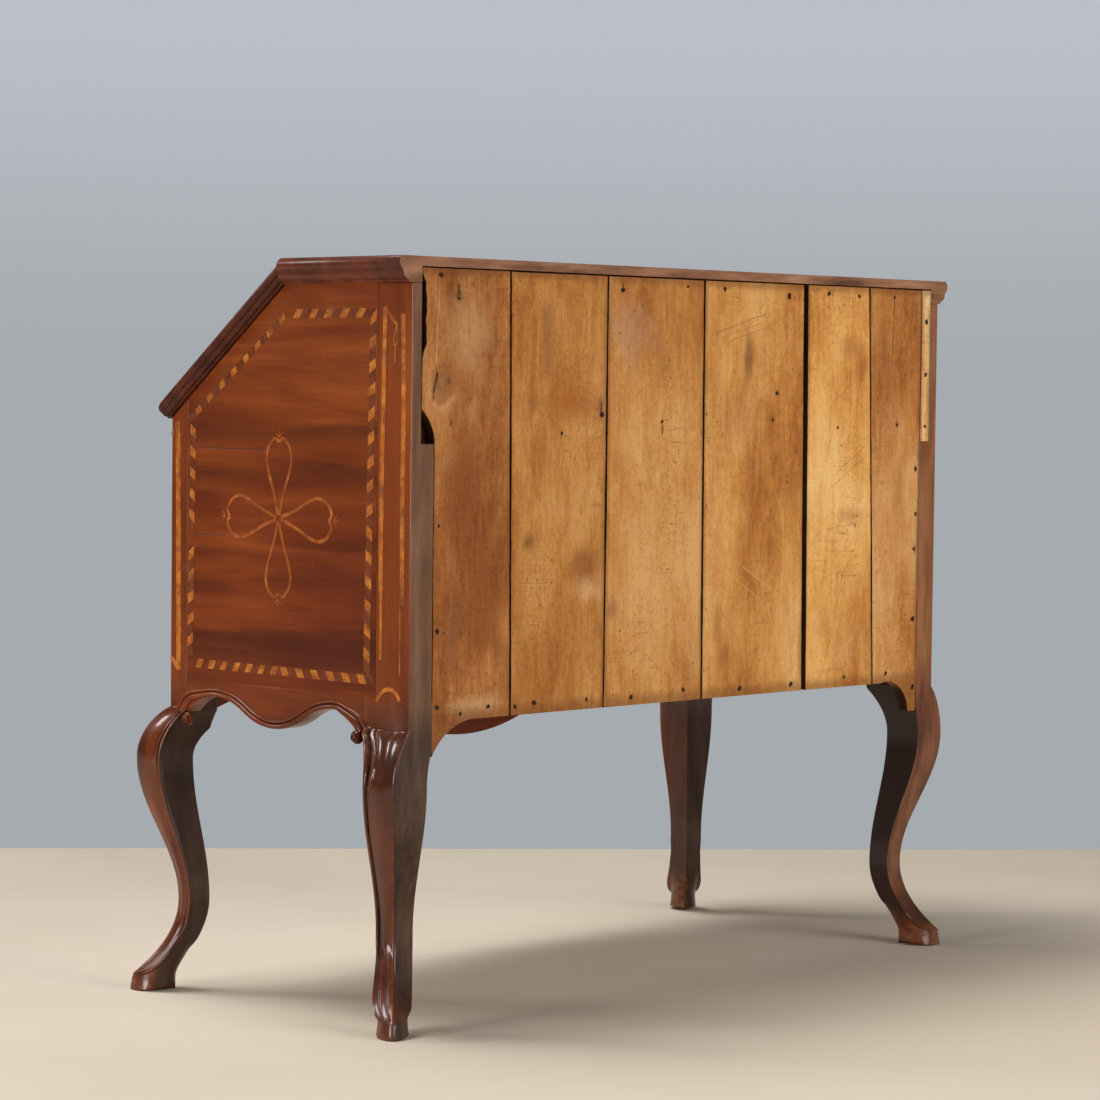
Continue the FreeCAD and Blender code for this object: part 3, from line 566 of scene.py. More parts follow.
class Recipe(Nodes):
    """Geometry nodes with named inputs, ending in plain geometry with its material set."""

    def __init__(self, name, **inputs):
        super().__init__(bpy.data.node_groups.new(name, "GeometryNodeTree"))
        face = self.tree.interface
        face.new_socket("Geometry", in_out="INPUT", socket_type="NodeSocketGeometry")
        for label, kind in inputs.items():
            face.new_socket(label, in_out="INPUT", socket_type="NodeSocket" + kind)
        face.new_socket("Material", in_out="INPUT", socket_type="NodeSocketMaterial")
        face.new_socket("Geometry", in_out="OUTPUT", socket_type="NodeSocketGeometry")
        self.start = self.tree.nodes.new("NodeGroupInput")

    def given(self, name):
        return Link(self, self.start.outputs[name])

    def scaled(self, vector, share):
        return self.add("ShaderNodeVectorMath", {"operation": "SCALE"}, {0: vector, 3: share})

    def total(self, first, second):
        return self.add("ShaderNodeVectorMath", {"operation": "ADD"}, {0: first, 1: second})

    def end(self, geometry):
        plain = self.add("GeometryNodeRealizeInstances", inputs={0: geometry})
        made = self.add("GeometryNodeSetMaterial", inputs={"Geometry": plain, "Material": self.given("Material")})
        self.add("NodeGroupOutput", inputs={0: made})

    def grow(self, mesh, **values):
        """Plain mesh grown from a mesh of paths or points."""
        thing = placed("seed", mesh)
        change = thing.modifiers.new("recipe", "NODES")
        change.node_group = self.tree
        for socket in self.tree.interface.items_tree:
            if socket.in_out == "INPUT" and socket.name in values:
                change[socket.identifier] = values[socket.name]
        made = bpy.data.meshes.new_from_object(thing.evaluated_get(bpy.context.evaluated_depsgraph_get()))
        thing.modifiers.clear()
        bpy.data.objects.remove(thing)
        return made


def sweep_recipe(name, flat):
    """A strip (flat) or a rounded bead carried along smooth paths, with its face turned one way."""
    recipe = Recipe(name, Width="Float", Height="Float", Step="Float", Facing="Vector")
    path = recipe.add("GeometryNodeMeshToCurve", inputs={0: recipe.given("Geometry")})
    path = recipe.add("GeometryNodeCurveSplineType", {"spline_type": "CATMULL_ROM"}, {0: path})
    path = recipe.add("GeometryNodeResampleCurve", {"mode": "LENGTH"},
                      {"Curve": path, "Length": recipe.given("Step")})
    path = recipe.add("GeometryNodeSetCurveNormal", {"mode": "FREE"},
                      {"Curve": path, "Normal": recipe.given("Facing")})
    if flat:
        profile = recipe.add("GeometryNodeCurvePrimitiveQuadrilateral", inputs={"Width": 1.0, "Height": 1.0})
    else:
        profile = recipe.add("GeometryNodeCurvePrimitiveCircle", inputs={"Resolution": 14, "Radius": 0.5})
    size = recipe.add("ShaderNodeCombineXYZ", inputs={0: recipe.given("Height"), 1: recipe.given("Width"), 2: 1.0})
    profile = recipe.add("GeometryNodeTransform", inputs={"Geometry": profile, "Scale": size})
    made = recipe.add("GeometryNodeCurveToMesh", inputs={"Curve": path, "Profile Curve": profile, "Fill Caps": True})
    recipe.end(recipe.add("GeometryNodeSetShadeSmooth", inputs={"Geometry": made, "Shade Smooth": not flat}))
    return recipe


def banding_recipe():
    """Lozenges in a row: each is a thin block leaned along the row by its slant."""
    recipe = Recipe("banding", Start="Vector", Along="Vector", Across="Vector", Facing="Vector", Count="Int",
                    Pitch="Float", Length="Float", Width="Float", Slant="Float", Thick="Float")
    along = recipe.given("Along")
    row = recipe.add("GeometryNodeMeshLine", {"mode": "OFFSET"},
                     {"Count": recipe.given("Count"), "Start Location": recipe.given("Start"),
                      "Offset": recipe.scaled(along, recipe.given("Pitch"))})
    block = recipe.add("GeometryNodeMeshCube", inputs={"Size": (1, 1, 1)})
    spot = recipe.add("GeometryNodeInputPosition")
    x, y, z = (recipe.add("ShaderNodeSeparateXYZ", inputs={0: spot}, out=i) for i in range(3))
    place = recipe.scaled(recipe.given("Facing"), x * recipe.given("Thick"))
    place = recipe.total(place, recipe.scaled(along, y * recipe.given("Length") + z * recipe.given("Slant")))
    place = recipe.total(place, recipe.scaled(recipe.given("Across"), z * recipe.given("Width")))
    block = recipe.add("GeometryNodeSetPosition", inputs={"Geometry": block, "Position": place})
    recipe.end(recipe.add("GeometryNodeInstanceOnPoints", inputs={"Points": row, "Instance": block}))
    return recipe


def paths(*runs):
    """Mesh of separate lines of points."""
    spots = []
    edges = []
    for run in runs:
        edges += [(len(spots) + i, len(spots) + i + 1) for i in range(len(run) - 1)]
        spots += run
    mesh = bpy.data.meshes.new("paths")
    mesh.from_pydata([tuple(spot) for spot in spots], edges, [])
    return mesh


def joined(meshes, name):
    """One mesh from several, faces turned outwards."""
    shape = bmesh.new()
    for mesh in meshes:
        shape.from_mesh(mesh)
    bmesh.ops.recalc_face_normals(shape, faces=shape.faces)
    return finished(shape, name)


def fruitwood(name, tones):
    finish = Finish(name)
    piece = finish.noise((70, 70, 70), 2.0)
    grain = finish.noise((500, 60, 500), 3.0)
    dark, light, pale = (tone(*value) for value in tones)
    colour = finish.ramp(piece * 0.7 + grain * 0.3, (0.32, dark), (0.52, light), (0.72, pale))
    worn = finish.noise((24, 24, 24), 7.0, 0.7).rise(0.46, 0.66)
    colour = finish.mix(worn * 0.75, colour, tone(112, 54, 20))
    specks = finish.noise((260, 260, 260), 2.0, 0.5).rise(0.58, 0.68)
    colour = finish.mix(specks * 0.25, colour, tone(92, 42, 16))
    return finish.close(colour, 0.36 + worn * 0.2, grain - specks, 0.0002,
                        {"Coat Weight": 0.05, "Coat Roughness": 0.2, "Specular IOR Level": 0.2})


panel_walnut = walnut("panel_walnut", 1, ((86, 33, 11), (118, 53, 18), (146, 73, 25), (168, 95, 37)), 0.27, 0.08,
                      lower=(0.80, 0.58, ((74, 26, 8), (104, 43, 14), (128, 58, 20), (148, 76, 30)),
                             ((96, 68, 54),) * 3),
                      bands=((0.476, 0.042, 0.6), (0.600, 0.022, 0.3), (0.700, 0.030, 0.35), (0.757, 0.020, 0.5),
                             (0.835, 0.018, 0.2)),
                      cracks=((back_y - 0.420, back_y - 0.250, 0.7335, -0.006),
                              (back_y - 0.420, back_y - 0.340, 0.618, 0.02)))
light_inlay = fruitwood("light_inlay", ((134, 66, 22), (176, 100, 34), (200, 130, 56)))
dark_inlay = fruitwood("dark_inlay", ((84, 36, 11), (104, 48, 16), (118, 57, 20)))
rubbed_inlay = fruitwood("rubbed_inlay", ((116, 52, 18), (152, 78, 27), (180, 104, 42)))
strip = sweep_recipe("strip", True)
bead = sweep_recipe("bead", False)
banding = banding_recipe()
proud = 0.00025
layer_lift = 0.00003
light_share, dark_share = 0.44, 0.56


def inlaid(runs, width, step, facing, material):
    """Flat strips let in along runs of points, a little proud of the wood."""
    return strip.grow(paths(*runs), Width=width, Height=2 * proud, Step=step, Facing=facing, Material=material)


stile_lines = (
    (0.0074, ((-0.0500, 0.9167), (-0.0535, 0.700), (-0.0540, 0.596), (-0.0536, 0.560))),
    (0.0050, ((-0.0536, 0.560), (-0.0534, 0.520), (-0.0538, 0.474))),
    (0.0080, ((-0.0170, 0.9080), (-0.0150, 0.800), (-0.0160, 0.690), (-0.0150, 0.545))),
    (0.0018, ((-0.0185, 0.545), (-0.0180, 0.500), (-0.0185, 0.456))),
    (0.0052, ((-0.0502, 0.9167), (-0.0400, 0.9055), (-0.0285, 0.8945))),
    (0.0030, ((-0.0285, 0.8945), (-0.0275, 0.8800), (-0.0305, 0.8660), (-0.0345, 0.8740), (-0.0315, 0.8850),
              (-0.0285, 0.8945))),
    (0.0022, ((-0.0305, 0.8660), (-0.0318, 0.8560), (-0.0310, 0.8470))),
    (0.0052, ((-0.0600, 0.420), (-0.0510, 0.4320), (-0.0380, 0.4375), (-0.0250, 0.4340), (-0.0180, 0.424))),
    (0.0096, ((-0.4500, 0.768), (-0.4478, 0.600), (-0.4458, 0.436))),
    (0.0050, ((-0.4500, 0.768), (-0.4560, 0.760), (-0.4618, 0.748))),
    (0.0060, ((-0.4458, 0.436), (-0.4530, 0.4435), (-0.4615, 0.452))),
)
loop = ((0.004, 0.001), (0.020, 0.0055), (0.040, 0.0125), (0.060, 0.0205), (0.076, 0.0240), (0.090, 0.0210),
        (0.0985, 0.0135), (0.1015, 0.0085), (0.1005, 0.0035), (0.0965, 0.0004))
sprig = (((0.105, 0.0), (0.110, 0.0006), (0.115, 0.0)), ((0.105, 0.001), (0.109, 0.004), (0.111, 0.007)),
         ((0.105, -0.001), (0.109, -0.004), (0.111, -0.007)))
knot_y, knot_z = -0.2477, 0.645
petals = ((0, 1, 1.015, 1.0), (0, -1, 1.005, 1.0), (1, 0, 1.0, 1.15), (-1, 0, 0.985, 1.15))
bands = (
    ((-0.0713, 0.9114), (-0.0758, 0.6537), 9, 0.0116, -0.007),
    ((-0.0760, 0.6397), (-0.0787, 0.4699), 6, 0.0116, 0.007),
    ((-0.4192, 0.7620), (-0.4205, 0.6360), 5, 0.0110, 0.007),
    ((-0.4208, 0.6000), (-0.4225, 0.4700), 5, 0.0110, -0.007),
    ((-0.2380, 0.9070), (-0.4140, 0.7790), 8, 0.0086, 0.002),
    ((-0.2200, 0.9095), (-0.0880, 0.9095), 5, 0.0116, 0.008),
    ((-0.4092, 0.4468), (-0.2480, 0.4468), 7, 0.0116, 0.006),
    ((-0.2413, 0.4468), (-0.0804, 0.4468), 6, 0.0116, -0.006),
)
for hand, side in hands:
    node = hand + "_side_panel"
    show(node + "_board", board(node, 0.0005), panel_walnut, "case", node)
    face = Vector((side, 0, 0))

    def on_side(spot, layer=0):
        return Vector((side * (half_width + layer_lift * layer), back_y + spot[0], spot[1]))

    light_rows = []
    dark_rows = []
    for layer, (start, far, count, wide, slant) in enumerate(bands):
        along = on_side(far) - on_side(start)
        pitch = along.length / (count - 0.5)
        along.normalize()
        across_row = face.cross(along)
        if across_row.dot(Vector((0, 1, 1))) < 0:
            across_row.negate()
        sizes = dict(Along=along, Across=across_row, Facing=face, Count=count, Pitch=pitch, Width=wide,
                     Slant=slant * (1 if along.y > -0.2 else -1))
        first = on_side(start, layer)
        light_rows.append(banding.grow(paths([first]), Start=first + along * pitch * 0.25, Thick=2 * proud,
                                       Length=pitch * light_share, Material=light_inlay, **sizes))
        dark_rows.append(banding.grow(paths([first]), Start=first + along * pitch * 0.75, Thick=1.4 * proud,
                                      Length=pitch * dark_share, Material=dark_inlay, **sizes))
    for layer, (width, line) in enumerate(stile_lines):
        light_rows.append(inlaid([[on_side(spot, layer) for spot in line]], width, 0.006, face, light_inlay))
    loops = []
    sprigs = []
    for toward_y, toward_z, reach, swell in petals:
        for hand_side in (1, -1):
            loops.append([on_side((knot_y + reach * r * toward_y + swell * w * hand_side * toward_z,
                                   knot_z + reach * r * toward_z + swell * w * hand_side * toward_y), len(loops))
                          for r, w in loop])
        for line in sprig:
            sprigs.append([on_side((knot_y + r * toward_y + w * toward_z, knot_z + r * toward_z + w * toward_y))
                           for r, w in line])
    knot_rows = [inlaid(lines, width, 0.003, face, rubbed_inlay)
                 for lines, width in ((loops, 0.0046), (sprigs, 0.0016))]
    show(hand + "_knot_inlay", joined(knot_rows, "inlay"), rubbed_inlay, "case")
    show(hand + "_light_inlay", joined(light_rows, "inlay"), light_inlay, "case")
    show(hand + "_dark_inlay", joined(dark_rows, "inlay"), dark_inlay, "case")

# Aprons: walnut rails sawn to a serpentine lower edge and carved along it with a bold roll and a fine bead,
# which widen towards the legs and end there in a small snail. The side ones are tenoned between the legs,
# the long one between the front legs.


def rail(node, outward, sideways):
    """The plain rail, and the line of its lower edge: places along it, heights and the face's level."""
    shape = solid_copy(node)
    level = max(spot.co.dot(outward) for spot in shape.verts)
    spots = {spot for face in shape.faces if face.normal.z < -0.2 for spot in face.verts
             if level - spot.co.dot(outward) < 0.0005}
    line = sorted((spot.co.dot(sideways), spot.co.z) for spot in spots)
    base = level - 0.004
    for spot in shape.verts:
        spot.co -= outward * max(spot.co.dot(outward) - base, 0.0)
    bmesh.ops.remove_doubles(shape, verts=shape.verts, dist=0.00002)
    bmesh.ops.dissolve_degenerate(shape, edges=shape.edges, dist=0.00002)
    return shape, line, base


def edge_moulding(line, base, outward, sideways):
    """A roll, a quirk and a fine bead along a line on the face of a rail, broader towards both ends."""
    profile = [(0.0030 - 0.0034 * math.cos(math.pi * i / 10), 0.0044 * math.sin(math.pi * i / 10)) for i in range(10)]
    profile += [(0.0068, 0.0002)]
    profile += [(0.0088 - 0.0017 * math.cos(math.pi * i / 6), 0.0003 + 0.0024 * math.sin(math.pi * i / 6))
                for i in range(6)]
    profile += [(0.0109, -0.0002), (0.0109, -0.0020), (-0.0004, -0.0020)]
    run = [Vector(spot) for spot in line]
    lengths = np.cumsum([0.0] + [(b - a).length for a, b in zip(run, run[1:])])
    steps = np.linspace(0.0, lengths[-1], 170)
    places, heights = (np.interp(steps, lengths, [spot[i] for spot in run]) for i in (0, 1))
    blur = np.ones(5) / 5
    places[2:-2] = np.convolve(places, blur, "valid")
    heights[2:-2] = np.convolve(heights, blur, "valid")
    rings = []
    for place, height, along, rise, step in zip(places, heights, np.gradient(places), np.gradient(heights), steps):
        inward = Vector((-rise, along)).normalized()
        broad = 1 + 0.75 * ease(1 - min(step, lengths[-1] - step) / 0.055)
        rings.append([sideways * (place + inward.x * reach * broad) + outward * (base + tall)
                      + Vector((0, 0, height + inward.y * reach * broad)) for reach, tall in profile])
    # The quirk is painted dark: dirt and painted shade.
    marks = [(0.9 if tall < 0.0008 and reach > 0.001 else 0.0,) for reach, tall in profile]
    shape = skin(rings, [marks] * len(rings), "dirt_and_shade")
    bmesh.ops.recalc_face_normals(shape, faces=shape.faces)
    return finished(shape, "edge", 60.0)


def snail(centre, outward, inward):
    """A low dome with a groove winding into it, facing outwards."""
    up = Vector((0, 0, 1))
    rings = []
    marks = []
    for i in range(17):
        reach = 0.0092 * math.cos(math.pi / 2 * i / 17)
        ring = []
        row = []
        for j in range(48):
            turn = 2 * math.pi * j / 48
            wind = math.cos(2 * math.pi * (reach / 0.0044) + turn)
            cut = ease((-0.2 - wind) / 0.7) * ease((reach - 0.0006) / 0.001)
            tall = 0.0105 * math.sin(math.pi / 2 * i / 17) - 0.0020 * cut
            ring.append(centre + inward * (reach * math.cos(turn)) + up * (reach * math.sin(turn)) + outward * tall)
            # The dome is painted darker, most in its groove: dirt and painted shade.
            row.append((0.35 + 0.6 * cut,))
        rings.append(ring)
        marks.append(row)
    shape = skin(rings, marks, "dirt_and_shade")
    bmesh.ops.recalc_face_normals(shape, faces=shape.faces)
    return finished(shape, "snail", 60.0)


apron_walnut = walnut("apron_walnut", 1, ((78, 29, 10), (108, 47, 16), (130, 61, 22), (150, 78, 32)), 0.25, 0.14)
front_walnut = walnut("front_walnut", 0, ((84, 31, 15), (112, 48, 23), (134, 63, 29), (152, 80, 40)), 0.27, 0.12)
near_end = ((-0.4330, 0.3770), (-0.4318, 0.3797), (-0.4254, 0.3893), (-0.4179, 0.3955), (-0.3964, 0.4019))
far_end = ((-0.1278, 0.4021), (-0.1119, 0.3939), (-0.1000, 0.3854), (-0.0951, 0.3804), (-0.0935, 0.3770))
for name, material, outward, sideways in (("right_side", apron_walnut, Vector((1, 0, 0)), Vector((0, 1, 0))),
                                          ("left_side", apron_walnut, Vector((-1, 0, 0)), Vector((0, 1, 0))),
                                          ("front", front_walnut, Vector((0, -1, 0)), Vector((1, 0, 0)))):
    node = name + "_apron"
    shape, line, base = rail(node, outward, sideways)
    if name == "front":
        reach = line[-1][0] - 0.012
        snails = ((-reach, 0.3730), (reach, 0.3730))
        line = [spot for spot in line if abs(spot[0]) < reach - 0.03]
        line = [(-reach, 0.3770), (-reach + 0.006, 0.3890)] + line + [(reach - 0.006, 0.3890), (reach, 0.3770)]
    else:
        first, last = ([(back_y + a, b) for a, b in end] for end in (near_end, far_end))
        snails = ((back_y - 0.4255, 0.3718), (back_y - 0.0942, 0.3729))
        line = first + [spot for spot in line if first[-1][0] + 0.004 < spot[0] < last[0][0] - 0.004] + last
    mesh = finished(eased(shape, 0.0006), node + ".rail")
    for face in mesh.polygons:
        face.use_smooth = face.area < 0.002
    show(node + "_rail", mesh, material, "case", node)
    show(node + "_edge", edge_moulding(line, base, outward, sideways), material, "case", node)
    curls = [snail(outward * (base - 0.001) + sideways * place + Vector((0, 0, height)), outward, sideways * way)
             for (place, height), way in zip(snails, (1, -1))]
    show(node + "_snails", joined(curls, "snails"), material, "case")

# Case inside: plain softwood boards between the sides carry the drawers, and strips of the same guide them.
# The writing bed and the thin housings that hold the two slides are of walnut.


def softwood(name, grain, tones, faced=False):
    """Plain unpolished board, grain along one axis; its front edge may be faced with walnut."""
    finish = Finish(name)
    rings = finish.noise(stretched(grain, 24.0, 1.4), 5.0, 0.6, 0.6)
    fibre = finish.noise(stretched(grain, 420.0, 9.0), 3.0)
    stain = finish.noise((6, 6, 6), 5.0, 0.6)
    dark, middle, light = (tone(*value) for value in tones)
    colour = finish.ramp(rings * 0.6 + fibre * 0.18 + stain * 0.26, (0.34, dark), (0.52, middle), (0.68, light))
    spots = finish.noise((150, 150, 150), 2.0).rise(0.70, 0.76)
    colour = finish.mix(spots * 0.5, colour, tone(84, 48, 26))
    rough = 0.62 + stain * 0.25
    if faced:
        edge = finish.facing_axis(1).rise(-0.5, -0.8)
        colour = finish.mix(edge, colour, finish.ramp(rings, (0.35, tone(84, 31, 15)), (0.65, tone(128, 60, 28))))
        rough = rough - edge * 0.35
    return finish.close(colour, rough, fibre * 0.7 + rings * 0.4, 0.0005, {"Specular IOR Level": 0.3})


deal_across = softwood("deal_across", 0, ((150, 100, 58), (184, 132, 82), (206, 158, 106)))
deal_faced = softwood("deal_faced", 0, ((150, 100, 58), (184, 132, 82), (206, 158, 106)), True)
deal_deep = softwood("deal_deep", 1, ((146, 98, 58), (180, 130, 82), (202, 154, 104)))
for node in ("bottom_board", "drawer_divider"):
    show(node + "_plank", board(node), deal_faced, "case", node)
show("desk_floor_plank", board("desk_floor"), front_walnut, "case", "desk_floor")
show("guide_strip_rails", board("guide_strips"), deal_deep, "case", "guide_strips")
for hand in ("right", "left"):
    node = hand + "_loper_housing"
    show(node + "_case", board(node), front_walnut, "case", node)

# Back: six vertical softwood planks of unequal width, sawn by hand and nailed into the rebate, with a thin
# batten where one edge was patched. Their edges are worn and the first is torn beside the post.
plank_top_z = 0.9635
plank_bottom_z = 0.398


def plank_wood(name, tones, left, right, shift, ripple, marks, eyes, lines):
    """Bare plank: soft broad figure with flecks, stains at marks, knots at eyes, cracks and scratches along lines,
    dirt along its sawn edges."""
    finish = Finish(name)
    x, z = finish.axis(0), finish.axis(2)
    move = (shift, 0, shift * 0.7)
    broad = finish.noise((6, 6, 2.8), 4.0, 0.55, move=move)
    mid = finish.noise((34, 34, 11), 4.0, 0.6, 1.2, move=move)
    fibre = finish.noise((250, 250, 16), 3.0, 0.55, 0.2, move=move)
    mottle = finish.noise((210, 210, 140), 3.0, 0.6, move=move)
    dark, low, middle, light = (tone(*value) for value in tones)
    colour = finish.ramp(broad * 0.60 + mid * 0.2 + fibre * 0.11 + mottle * 0.14 - 0.025,
                         (0.38, dark), (0.46, low), (0.53, middle), (0.62, light))
    chalk = finish.noise((5, 5, 3), 5.0, 0.6, move=(shift * 2, 0, shift)).rise(0.54, 0.70)
    colour = finish.mix(chalk * 0.3, colour, tone(206, 166, 122))
    patch = finish.noise((8, 8, 6), 3.0, move=(shift * 3, 0, shift)).rise(0.46, 0.62)
    curl = finish.noise((20, 20, 300), 3.0, 0.6, 0.5, move=move, turn=(0, ripple, 0)).rise(0.54, 0.72)
    colour = finish.mix(curl * (patch * 0.5 + 0.08), colour, dark)
    flecks = finish.noise((430, 430, 150), 1.0, 0.4, move=move, turn=(0, ripple * 0.5, 0)).rise(0.63, 0.73)
    colour = finish.mix(flecks * (patch * 0.6 + 0.35) * 0.8, colour, dark)
    wobble = finish.noise((40, 40, 26), 4.0, 0.6, move=move) - 0.5
    for spot_x, spot_z, reach_x, reach_z, strength, stain_tone in marks:
        away = (((x - spot_x) / reach_x) ** 2 + ((z - spot_z) / reach_z) ** 2) ** 0.5 + wobble * 1.4
        colour = finish.mix(away.rise(1.15, 0.1) * (mottle * 1.1 + 0.5) * strength, colour, tone(*stain_tone))
    for spot_x, spot_z, reach_x, reach_z in eyes:
        off_x, off_z = (x - spot_x) / reach_x, (z - spot_z) / reach_z
        away = (off_x ** 2 + off_z ** 2) ** 0.5 + wobble * 1.0
        rim = away.rise(1.5, 1.15) * away.rise(0.8, 1.1)
        colour = finish.mix(rim * off_z.rise(0.0, -0.9) * 0.3, colour, tone(214, 168, 118))
        colour = finish.mix(away.rise(1.15, 0.5) * 0.6, colour, tone(132, 86, 50))
        turns = away * 11 + mid * 9
        ring = turns.math("SINE", turns).rise(0.2, 1.0) * away.rise(1.15, 0.7)
        colour = finish.mix(ring * (mottle.rise(0.35, 0.6) * 0.35 + 0.06), colour, tone(104, 58, 32))
    for start_x, start_z, end_x, end_z, wide, strength, line_tone in lines:
        length = math.hypot(end_x - start_x, end_z - start_z)
        run_x, run_z = (end_x - start_x) / length, (end_z - start_z) / length
        along = (x - start_x) * run_x + (z - start_z) * run_z
        off = ((x - start_x) * run_z - (z - start_z) * run_x + wobble * 0.006).size()
        mask = off.rise(wide, wide * 0.3) * along.rise(0.0, 0.004) * along.rise(length, length - 0.006)
        colour = finish.mix(mask * (mottle.rise(0.3, 0.55) * 0.5 + 0.5) * strength, colour, tone(*line_tone))
    rim = finish.noise((60, 60, 14), 4.0, move=move) * 0.012
    edge = (x - left - rim).rise(0.004, -0.006).most((right - x - rim).rise(0.004, -0.006))
    ends = (plank_top_z - z - rim).rise(0.005, -0.005).most((z - plank_bottom_z - rim * 1.5).rise(0.010, -0.006))
    colour = finish.mix(edge.most(ends) * 0.5, colour, tone(108, 64, 36))
    dots = finish.noise((240, 240, 200), 1.0, 0.4, move=move).rise(0.69, 0.73) * (patch * 0.5 + 0.5)
    colour = finish.mix(dots * 0.85, colour, tone(70, 38, 20))
    # Faces turned sideways, the planks' edges in the seams and along the torn stretch, are painted nearly black:
    # painted shade.
    cut = finish.facing_axis(0).size().rise(0.35, 0.75)
    colour = finish.mix(cut * 0.9, colour, tone(30, 16, 10))
    height = mid * 0.4 + fibre * 0.5 + mottle * 0.4 - flecks * 0.4 - dots * 0.8
    return finish.close(colour, 0.60 + broad * 0.12 + fibre * 0.12, height, 0.0005, {"Specular IOR Level": 0.12})


def sawn(node, seed, worn=()):
    """Plank with wavering hand-sawn edges and open seams; worn lists stretches of its left edge that are torn."""
    shape = solid_copy(node)
    low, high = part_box(node)
    tall = [e for e in shape.edges if abs(e.verts[0].co.z - e.verts[1].co.z) > 0.05]
    bmesh.ops.subdivide_edges(shape, edges=tall, cuts=70, use_grid_fill=False)
    for spot in shape.verts:
        leftward = spot.co.x > (low.x + high.x) / 2
        waver = noise.noise((spot.co.z * 9, seed, 0 if leftward else 7)) * 0.0008
        waver += noise.noise((spot.co.z * 60, seed, 3 if leftward else 9)) * 0.0005
        waver += -0.0006 if leftward else 0.0006
        if leftward:
            for bottom, top, depth in worn:
                share = ease((spot.co.z - bottom) / 0.025) * ease((top - spot.co.z) / 0.012)
                waver -= share * depth * (0.8 + 0.75 * noise.noise((spot.co.z * 75, seed, 1)))
        spot.co.x += waver
        if spot.co.z > 0.9 and abs(spot.co.z - high.z) < 0.001:
            spot.co.z -= 0.0016 + abs(noise.noise((spot.co.x * 30, seed, 5))) * 0.0016
    mesh = finished(eased(shape, 0.0006, 2, 40.0), node + ".sawn")
    for face in mesh.polygons:
        face.use_smooth = face.area < 0.0004
    return mesh


